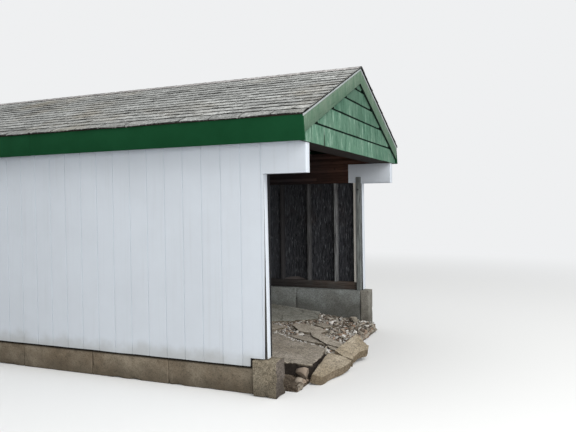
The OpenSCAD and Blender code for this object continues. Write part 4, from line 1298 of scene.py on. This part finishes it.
# Painted shade: near-black green for the rakes' inner edges and the shingles' butts, faces that turn down
# away from the light.
green_edge_shade = faded_green("green_edge_painted_shade", (0.012, 0.027, 0.019, 1), (0.018, 0.036, 0.026, 1),
                        streaked=0.0)


def shingle_edges(joints, rng):
    """Where a course's shingles meet: the place, and the joint's width at the foot and at the top."""
    x, edges = -gable_half, []
    while x < gable_half - 0.36:
        x += rng.uniform(0.13, 0.30)
        if all(abs(x - at) > 0.08 for at, _, _ in joints):
            gap = rng.uniform(0.0006, 0.0014)
            edges.append((x, gap, gap))
    return sorted([(-gable_half, 0, 0), *edges, *joints, (gable_half, 0, 0)])


for end, name in (("front", "lake_gable_shingles"), ("rear", "rear_gable_shingles")):
    rng = np.random.default_rng(111 if end == "front" else 112)
    node = "gable_shingles_" + end
    low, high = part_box(node)
    butt_y, out = (low.y, -1) if end == "front" else (high.y, 1)
    shingles = Piece()
    for course, (below, above) in enumerate(zip(course_ups[:-1], course_ups[1:])):
        z0 = gable_base + below
        z1 = gable_base + above
        rake_x = (gable_top - rake_d / math.cos(roof_pitch) - z0) / slope
        edges = shingle_edges(open_joints.get(course, []) if end == "front" else [], rng)
        for (x0, foot0, top0), (x1, foot1, top1) in zip(edges[:-1], edges[1:]):
            drop = abs(rng.normal(0, 0.0015))
            sink = rng.uniform(0, 0.0012)
            tone = float(np.clip(0.58 - 0.12 * course + rng.normal(0, 0.07), 0.1, 0.9))
            offset = rng.uniform(-30, 30)
            foot_x = np.linspace(x0 + foot0 / 2, x1 - foot1 / 2, max(5, round((x1 - x0) / 0.014)))
            foot_z = z0 + drop + np.abs(rng.normal(0, 0.0010, len(foot_x)))
            if course:
                near_rake = np.clip(1 - (rake_x - hidden_w - np.abs(foot_x)) / notch_w, 0, 1)
                foot_z += notch_h * rng.uniform(0.8, 1.0) * near_rake ** 0.7
            # Below each next course's butt, a band of the shingle is painted black as shade.
            shade_band_z = z1 - shade_band_h
            at_shade_band = [(x1 - (foot1 * 0.1 + top1 * 0.9) / 2, shade_band_z),
                        (x0 + (foot0 * 0.1 + top0 * 0.9) / 2, shade_band_z)]
            head_z = z1 + notch_h + 0.008
            body = [*zip(foot_x, foot_z), *at_shade_band]
            head = [at_shade_band[1], at_shade_band[0], (x1 - top1 / 2, head_z), (x0 + top0 / 2, head_z)]
            for part, outline in enumerate((body, head)):
                outline = cut_below_roof(outline)
                if len(outline) < 3:
                    continue
                flat = np.array(outline)
                share = np.clip((flat[:, 1] - z0) / (z1 - z0), 0, 1.1)
                depth_in = (butt_t - lap_t) * share + sink
                front = np.column_stack([flat[:, 0], butt_y - out * depth_in, flat[:, 1]])
                rear = np.column_stack([flat[:, 0], np.full(len(flat), butt_y - out * butt_t), flat[:, 1]])
                n = len(flat)
                faces = [list(range(n)), list(range(2 * n - 1, n - 1, -1))]
                faces += [[i, (i + 1) % n, n + (i + 1) % n, n + i] for i in range(n)]
                points = np.concatenate([front, rear])
                grain = np.column_stack([points[:, 2], points[:, 0], points[:, 1]]) + (offset, 0.2, 0.1)
                finish = np.full(len(faces), part)
                if part:
                    tone = 0.62 - 0.35 * (points[:, 2] - shade_band_z) / shade_band_h
                else:
                    # The butts' under faces take the near-black green as painted shade.
                    finish[2:2 + len(foot_x) - 1] = 2
                shingles.add(points, faces, grain=grain, tone=tone, finish=finish)
    shingle_skins = [gable_green, gable_shade_band, green_edge_shade]
    shingles.set_in_place(name, shingle_skins, "worn_green_paint", [node], crease=20)

# Rake boards and fascias: sawn boards nailed over the edges of the roof. The rake boards have
# the gables' faded green, and the fascias a newer dark green that is still smooth.

rake_joint = 0.002
rake_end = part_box("rake_boards_front")[1].x
for node, name in (("rake_boards_front", "lake_rake_boards"), ("rake_boards_rear", "rear_rake_boards")):
    low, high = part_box(node)
    rakes = Piece()
    rng = np.random.default_rng(121)
    ridge_z = high.z
    length = (rake_end - rake_joint / 2) / math.cos(roof_pitch)
    for sign in (-1, 1):

        def along_roof(points):
            """From along, across and through the board to the roof's edge, with plumb-cut ends."""
            s = points[:, 0] + points[:, 2] * slope
            x = rake_joint / 2 + s * math.cos(roof_pitch) - points[:, 2] * math.sin(roof_pitch)
            z = ridge_z - s * math.sin(roof_pitch) - points[:, 2] * math.cos(roof_pitch)
            return np.column_stack([sign * x, points[:, 1], z])

        # The rakes' inner edges take the near-black green as painted shade.
        timber(rakes, (0, low.y, 0), (length, high.y, rake_d), 0, rng, ease=0.002, bow=0.0008,
               turn=along_roof, tone=lambda points: 0.60 - 0.12 * points[:, 2] / rake_d,
               finish=lambda middles: (middles[:, 2] > rake_d - 0.0015).astype(int))
    rakes.set_in_place(name, [rake_green, green_edge_shade], "worn_green_paint", [node])

# Edge strips: folded sheet metal 35 mm high, nailed over the deck's edge and the top of each rake
# board. The grey paint has gone dull, and each slope has two lengths that meet near the middle.
# Over their top the edge of the roofing felt sticks out as a thin black line, which also stands in for the
# shade under the shingles' edge.

strip_h = 0.035
felt_h = 0.012
felt_out = 0.010


def dull_metal():
    """Light grey paint on thin steel, chalky, with rain streaks and specks of rust."""
    material, tree, skin = new_material("dull_edge_metal", 0.55, 0.4)
    here = place_in_model(tree)
    cloud = patchy(tree, here, 6.0, 0.5, 0.2)
    spots = patchy(tree, here, 45.0, 0.22, 0.06)
    colour = mixed(tree, cloud, (0.440, 0.480, 0.475, 1), (0.350, 0.390, 0.385, 1))
    colour = tinted(tree, colour, (0.16, 0.10, 0.06, 1), spots, 0.5)
    colour = toned(tree, colour, 0.15)
    finish_skin(tree, skin, colour, cloud, 0.0006)
    return material


edge_metal = dull_metal()
strips = Piece()
rng = np.random.default_rng(125)
deck_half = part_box("roof_deck_right")[1].x
deck_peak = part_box("roof_deck_left")[1].z
strip_ends = sorted({(round(float(low[1]), 5), round(float(high[1]), 5))
                     for low, high in cad_solids("edge_strips")})
strip_len = (deck_half - rake_joint / 2) / math.cos(roof_pitch)
first_len = strip_len * 0.52
strip_gap = 0.001
for y0, y1 in strip_ends:
    for sign in (-1, 1):

        def on_edge(points):
            """From along, through and down the strip to the edge of the deck, with plumb-cut ends."""
            x = rake_joint / 2 + points[:, 0] * math.cos(roof_pitch)
            z = deck_peak - points[:, 0] * math.sin(roof_pitch) - points[:, 2] / math.cos(roof_pitch)
            return np.column_stack([sign * x, points[:, 1], z])

        for start, end in ((0, first_len), (first_len + strip_gap, strip_len)):
            timber(strips, (start, y0, 0), (end, y1, strip_h), 0, rng, ease=0.0008, bow=0.0006, cell=0.1,
                   turn=on_edge)
strips.set_in_place("folded_edge_strips", [edge_metal], "edge_metal", ["edge_strips"])

# Near-black felt: its own dark colour, and painted shade under the shingles' edge.
felt_and_shade, tree, skin = new_material("roofing_felt_and_shade", 0.95, 0.03)
fibres = shader_node(tree, "ShaderNodeTexNoise", {"Scale": 400.0})
colour = mixed(tree, fibres.outputs[0], (0.006, 0.006, 0.006, 1), (0.020, 0.019, 0.018, 1))
finish_skin(tree, skin, colour, fibres.outputs[0], 0.0005)
felt = Piece()
for y0, y1 in ((strip_ends[0][0] - felt_out, strip_ends[0][0]),
               (strip_ends[-1][1], strip_ends[-1][1] + felt_out)):
    for sign in (-1, 1):
        timber(felt, (0, y0, 0), (strip_len, y1, felt_h), 0, rng, ease=0.0005, bow=0.0006, cell=0.1,
               turn=on_edge)
felt.set_in_place("felt_edges", [felt_and_shade], "asphalt_shingle")


def fresh_green():
    """Dark green satin paint on smooth boards, with faint brush marks and a little dust."""
    material, tree, skin = new_material("dark_green_fascia", 0.6, 0.03)
    here = place_in_model(tree)
    wood = use_group(tree, wood_grain, {"Vector": grain_place(tree, None), "Rings": 80.0, "Wander": 0.04})
    cloud = patchy(tree, here, 2.0, 0.5, 0.2)
    colour = mixed(tree, cloud, (0.0066, 0.050, 0.0185, 1), (0.0088, 0.061, 0.0240, 1))
    dust = ramp(tree, wood["Fibre"], 0.6, 0.8, 0.0, 0.1)
    colour = mixed(tree, dust, colour, (0.04, 0.09, 0.06, 1))
    colour = toned(tree, colour, 0.12)
    finish_skin(tree, skin, colour, wood["Fibre"], 0.0003)
    return material


fascia_green = fresh_green()
fascia_length = 3.050
top_cut_h = 0.020
end_cut_reach = 0.400
rng = np.random.default_rng(131)
rake_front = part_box("rake_boards_front")[0].y
for side in ("left", "right"):
    low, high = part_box("fascia_" + side)
    inner_x, outer_x = sorted((abs(low.x), abs(high.x)))
    cut_top = deck_peak - outer_x * slope - strip_h / math.cos(roof_pitch) - 0.002

    def slope_top(points):
        """Cuts the board's top edge to the roof's slope, and its lake end back towards the top."""
        near_top = np.clip((points[:, 2] - (high.z - top_cut_h)) / top_cut_h, 0, 1)
        outwards = np.clip((np.abs(points[:, 0]) - inner_x) / (outer_x - inner_x), 0, 1)
        near_end = np.clip(1 - (points[:, 1] - low.y) / end_cut_reach, 0, 1)
        up = np.clip((points[:, 2] - low.z) / (cut_top - low.z), 0, 1)
        moved = points.copy()
        moved[:, 2] -= near_top * outwards * (outer_x - inner_x) * slope
        moved[:, 1] += near_end * up * (rake_front - low.y)
        return moved

    fascia = Piece()
    joints = [low.y, low.y + fascia_length, high.y]
    for start, end in zip(joints[:-1], joints[1:]):
        timber(fascia, (low.x, start, low.z), (high.x, end - 0.001, high.z), 1, rng, ease=0.002, bow=0.0008,
               turn=slope_top, tone=rng.uniform(0.4, 0.6))
    fascia.set_in_place("fascia_boards_" + side, [fascia_green], "dark_green_paint", ["fascia_" + side])

# Roof: three-tab asphalt shingles in fifteen courses of 127 mm on each slope, nailed to the
# deck. Their tabs have curled and shed granules, and the lowest course droops over the edge.
# Single shingles are bent over the ridge, and their granules have worn off along its crown.

tab_w = 0.3048
tab_slot = 0.010
exposure = 0.127
butt_h = 0.007
lap_h = 0.003
roof_drip = 0.015


def worn_shingle(name, dark, light, spread, brown=0.5):
    """Granules in asphalt, grey with brown and moss in it, darker where they have washed off."""
    material, tree, skin = new_material(name, 0.95, 0.08)
    here = place_in_model(tree)
    tint = grains(tree, here, 260.0)[1]
    coarse = noise(tree, here, 70.0, 4.0, rough=0.7)
    colour = mixed(tree, tint["Red"], dark, light)
    blotch = noise(tree, here, 21.0, 5.0, rough=0.75)
    colour = mixed(tree, ramp(tree, blotch, 0.51, 0.62, 0.0, 0.62), colour, (0.130, 0.132, 0.125, 1))
    colour = mixed(tree, ramp(tree, blotch, 0.48, 0.38, 0.0, 0.55), colour, (0.640, 0.645, 0.620, 1))
    colour = mixed(tree, ramp(tree, coarse, 0.45, 0.62, 0.0, 0.4), colour, (0.120, 0.118, 0.108, 1))
    broad = patchy(tree, here, 1.1, 0.33, 0.15)
    colour = tinted(tree, colour, (0.330, 0.265, 0.170, 1), broad, brown)
    moss = patchy(tree, here, 2.3, 0.25, 0.1)
    colour = tinted(tree, colour, (0.230, 0.260, 0.120, 1), moss, 0.3)
    colour = toned(tree, colour, spread)
    height = sums(tree, "MULTIPLY_ADD", tint["Green"], 0.5, coarse)
    finish_skin(tree, skin, colour, height, 0.0016)
    return material


shingle_skin = worn_shingle("worn_shingle", (0.250, 0.260, 0.258, 1), (0.520, 0.528, 0.505, 1),
                            spread=0.40)
# Near black for the tabs' butts and rims: the asphalt's own dark core, with painted shade under the butts.
shingle_edge = worn_shingle("shingle_edge", (0.012, 0.012, 0.012, 1), (0.040, 0.038, 0.034, 1),
                            spread=0.3, brown=0.0)
cap_skin = worn_shingle("cap_shingle", (0.300, 0.285, 0.280, 1), (0.580, 0.550, 0.540, 1), spread=0.3,
                        brown=0.1)


def roof_point(sign, edge_x, edge_z, s, y, h):
    """A point on a slope: s up it from the eave's edge, y along it and h square to the deck."""
    x = edge_x - s * math.cos(roof_pitch) + h * math.sin(roof_pitch)
    z = edge_z + s * math.sin(roof_pitch) + h * math.cos(roof_pitch)
    return np.stack([sign * x, y, z], -1)


for side, sign in (("left", -1), ("right", 1)):
    node = "roof_shingles_" + side
    low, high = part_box(node)
    rng = np.random.default_rng(141 if side == "left" else 142)
    edge_x, edge_z = deck_half + roof_drip, low.z
    run = edge_x / math.cos(roof_pitch)
    courses = math.ceil(run / exposure)
    roof = Piece()
    for course in range(courses):
        s0 = course * exposure
        s1 = min(s0 + exposure, run)
        top_s = min(s1 + exposure, run)
        if top_s > s1:
            head_y = np.linspace(low.y, high.y, 23)
            head_s = np.array([s1, top_s])
            s, y = np.meshgrid(head_s, head_y, indexing="ij")
            top_h = np.array([[lap_h - 0.0006], [0.0012]]) + 0 * s
            face = roof_point(sign, edge_x, edge_z, s, y, top_h)
            back = roof_point(sign, edge_x, edge_z, s, y, 0 * s)
            points, faces, _ = plate(face, back)
            roof.add(points, faces, tone=0.15)
        shift = (course % 2) * tab_w / 2 + rng.normal(0, 0.004)
        start = low.y - shift
        while start < high.y:
            a = max(start + tab_slot / 2, low.y)
            b = min(start + tab_w - tab_slot / 2, high.y)
            start += tab_w
            if b - a < 0.02:
                continue
            ragged = rng.normal(0, 0.0035 if course else 0.004)
            across = np.array([0, 0.06, 0.5, 0.94, 1]) * (b - a) + a
            up = np.array([0, 0.07, 0.35, 0.7, 1.0])
            u, y = np.meshgrid(up, across, indexing="ij")
            lower_s = s0 + ragged + abs(rng.normal(0, 0.001)) if course else max(0, s0 + ragged)
            s = lower_s + (s1 + 0.006 - lower_s) * u
            skew = (y - a) / max(b - a, 0.01) - 0.5
            s = s + (1 - u) * skew * rng.normal(0, 0.008)
            s = np.clip(s, 0, run)
            near_ridge = min(1, max(0, (run - s0) / 0.25 - 1))
            curl = near_ridge * np.clip(rng.normal(0.0032, 0.0013), 0.0008, 0.008) * (1 - u) ** 2
            corner = near_ridge * (1 - u) ** 3 * np.clip(skew * 2 * rng.normal(0, 0.003), 0, 0.006)
            droop = 0 * u
            if course == 0:
                along_y = np.column_stack([y.ravel(), 0 * y.ravel(), 0 * y.ravel()])
                droop = -(1 - u) ** 4 * (0.006 + 0.005 * (1 + waves(along_y, 0.4, 145).reshape(y.shape)))
            top_h = butt_h - (butt_h - lap_h) * u + curl + corner + droop
            under = lap_h - 0.0005 - 0.0018 * u + curl + corner + droop
            if course == 0:
                under = 0.001 + droop
            face = roof_point(sign, edge_x, edge_z, s, y, top_h)
            back = roof_point(sign, edge_x, edge_z, s, y, np.minimum(under, top_h - 0.0015))
            points, faces, sides = plate(face, back)
            tone = float(np.clip(rng.normal(0.5 if course else 0.22, 0.13), 0, 1))
            roof.add(points, faces, tone=tone, finish=(sides > 0).astype(int))
    roof.set_in_place("tab_shingles_" + side, [shingle_skin, shingle_edge], "asphalt_shingle", [node],
                      crease=25)

low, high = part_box("ridge_cap")
rng = np.random.default_rng(151)
cap_w = 0.150
cap_t = 0.006
cap_show = 0.140
cap_lift = 0.00135
crown_drop = 0.006
crown_reach = 0.020
crown_wear = 0.030
half_reach = [0.12, 0.24, 0.36, 0.6, 0.93, 1]
reach = np.array([-share for share in reversed(half_reach)] + [0] + half_reach) * cap_w
cap = Piece()
count = round((high.y - low.y) / cap_show)
step = (high.y - low.y) / count
for k in range(count):
    y0 = low.y + k * step
    y1 = min(y0 + step * 1.7, high.y)
    y, r = np.meshgrid(np.array([y0, y0 + 0.01, (y0 + y1) / 2, y1]), reach, indexing="ij")
    r = r * (1 + rng.normal(0, 0.01))
    share = (y - y0) / (y1 - y0)
    rounding = crown_drop * np.exp(-(r / crown_reach) ** 2)
    base_z = deck_peak + butt_h / math.cos(roof_pitch) - np.abs(r) * math.sin(roof_pitch) - rounding
    top_z = base_z + cap_t / math.cos(roof_pitch) * (0.65 - 0.45 * share) + cap_lift * (1 - share)
    x = r * math.cos(roof_pitch)
    face = np.stack([x, y, np.minimum(top_z, high.z)], -1)
    back = np.stack([x, y, base_z], -1)
    points, faces, sides = plate(face, back)
    across = points[:, 0] / math.cos(roof_pitch)
    tone = np.clip(rng.normal(0.5, 0.18), 0, 1) - 1.5 * np.exp(-(across / crown_wear) ** 2)
    cap.add(points, faces, tone=tone, finish=(sides > 0).astype(int))
cap.set_in_place("ridge_cap_shingles", [cap_skin, shingle_edge], "asphalt_shingle", ["ridge_cap"],
                 crease=40)

# Studio: a plain pale floor under a pale sky, a large soft lamp on the mouth's side, two smaller
# ones that fill in the roof and the left wall, and a camera at the photograph's place.

span = 60
floor_corners = [(-span, -span, 0), (span, -span, 0), (span, span, 0), (-span, span, 0)]
floor_mesh = bpy.data.meshes.new("studio_floor")
floor_mesh.from_pydata(floor_corners, [], [(0, 1, 2, 3)])
studio_floor = bpy.data.objects.new("studio_floor", floor_mesh)
bpy.context.scene.collection.objects.link(studio_floor)

backdrop = 0.88
sky_light = 0.75
sky_colour = (0.98, 0.99, 1.0, 1)


def seen_directly(tree):
    """1 for rays from the camera, and for ones that mirror or glass sends on, and 0 for light's own."""
    path = shader_node(tree, "ShaderNodeLightPath").outputs
    direct = sums(tree, "MAXIMUM", path["Is Camera Ray"], path["Is Glossy Ray"])
    return sums(tree, "MAXIMUM", direct, path["Is Transmission Ray"])


floor_paint, tree, skin = new_material("studio_floor_paint", 0.9)
colour = mixed(tree, seen_directly(tree), (0.30, 0.30, 0.30, 1), (0.78, 0.78, 0.77, 1))
tree.links.new(colour, skin.inputs["Base Color"])
here = place_in_model(tree)
from_middle = shader_node(tree, "ShaderNodeVectorMath", {0: here}, operation="LENGTH").outputs["Value"]
far = sums(tree, "MULTIPLY", ramp(tree, from_middle, 6.0, 15.0), seen_directly(tree))
glow = shader_node(tree, "ShaderNodeEmission", {"Color": sky_colour, "Strength": backdrop}).outputs[0]
blend = shader_node(tree, "ShaderNodeMixShader", {0: far, 1: skin.outputs[0], 2: glow}).outputs[0]
tree.links.new(blend, tree.nodes["Material Output"].inputs["Surface"])
floor_mesh.materials.append(floor_paint)

world = bpy.data.worlds.new("studio_sky")
bpy.context.scene.world = world
world.use_nodes = True
tree = world.node_tree
sky = tree.nodes["Background"]
strength = sums(tree, "MULTIPLY_ADD", seen_directly(tree), backdrop - sky_light, sky_light)
tree.links.new(strength, sky.inputs["Strength"])
sky.inputs["Color"].default_value = sky_colour


def soft_lamp(name, place, aim, size, power):
    """A round lamp of that width at a place, turned to a point, with its power in watts."""
    data = bpy.data.lights.new(name, "AREA")
    data.shape = "DISK"
    data.size = size
    data.energy = power
    lamp = bpy.data.objects.new(name, data)
    lamp.location = place
    lamp.rotation_mode = "QUATERNION"
    lamp.rotation_quaternion = (Vector(aim) - Vector(place)).to_track_quat("-Z", "Y")
    bpy.context.scene.collection.objects.link(lamp)


house_middle = (0, -1.5, 1.2)
soft_lamp("key_lamp", (-5, -15, 11), house_middle, 8, 1080)
soft_lamp("roof_lamp", (-5, -8, 10.5), house_middle, 6, 330)
soft_lamp("wall_lamp", (-8.5, -7.5, 2.4), (-1.5, -1.5, 1.2), 4, 290)

camera_data = bpy.data.cameras.new("camera")
camera_data.sensor_width = 36
camera_data.lens = 37.5465
camera_data.clip_end = 200
camera = bpy.data.objects.new("camera", camera_data)
bpy.context.scene.collection.objects.link(camera)
bpy.context.scene.camera = camera
yaw = math.radians(67.062)
tilt = math.radians(-1.091)
roll = -0.01268
stand = (-6.4298, gable_plane - 1.8537, 1.7104)
ahead = Vector((math.sin(yaw) * math.cos(tilt), math.cos(yaw) * math.cos(tilt), math.sin(tilt)))
right = Vector((math.cos(yaw), -math.sin(yaw), 0))
above = right.cross(ahead)
level_x = right * math.cos(roll) + above * math.sin(roll)
level_y = above * math.cos(roll) - right * math.sin(roll)
place = Matrix((level_x, level_y, -ahead)).transposed().to_4x4()
place.translation = stand
camera.matrix_world = place

bpy.context.scene.view_settings.view_transform = "Standard"
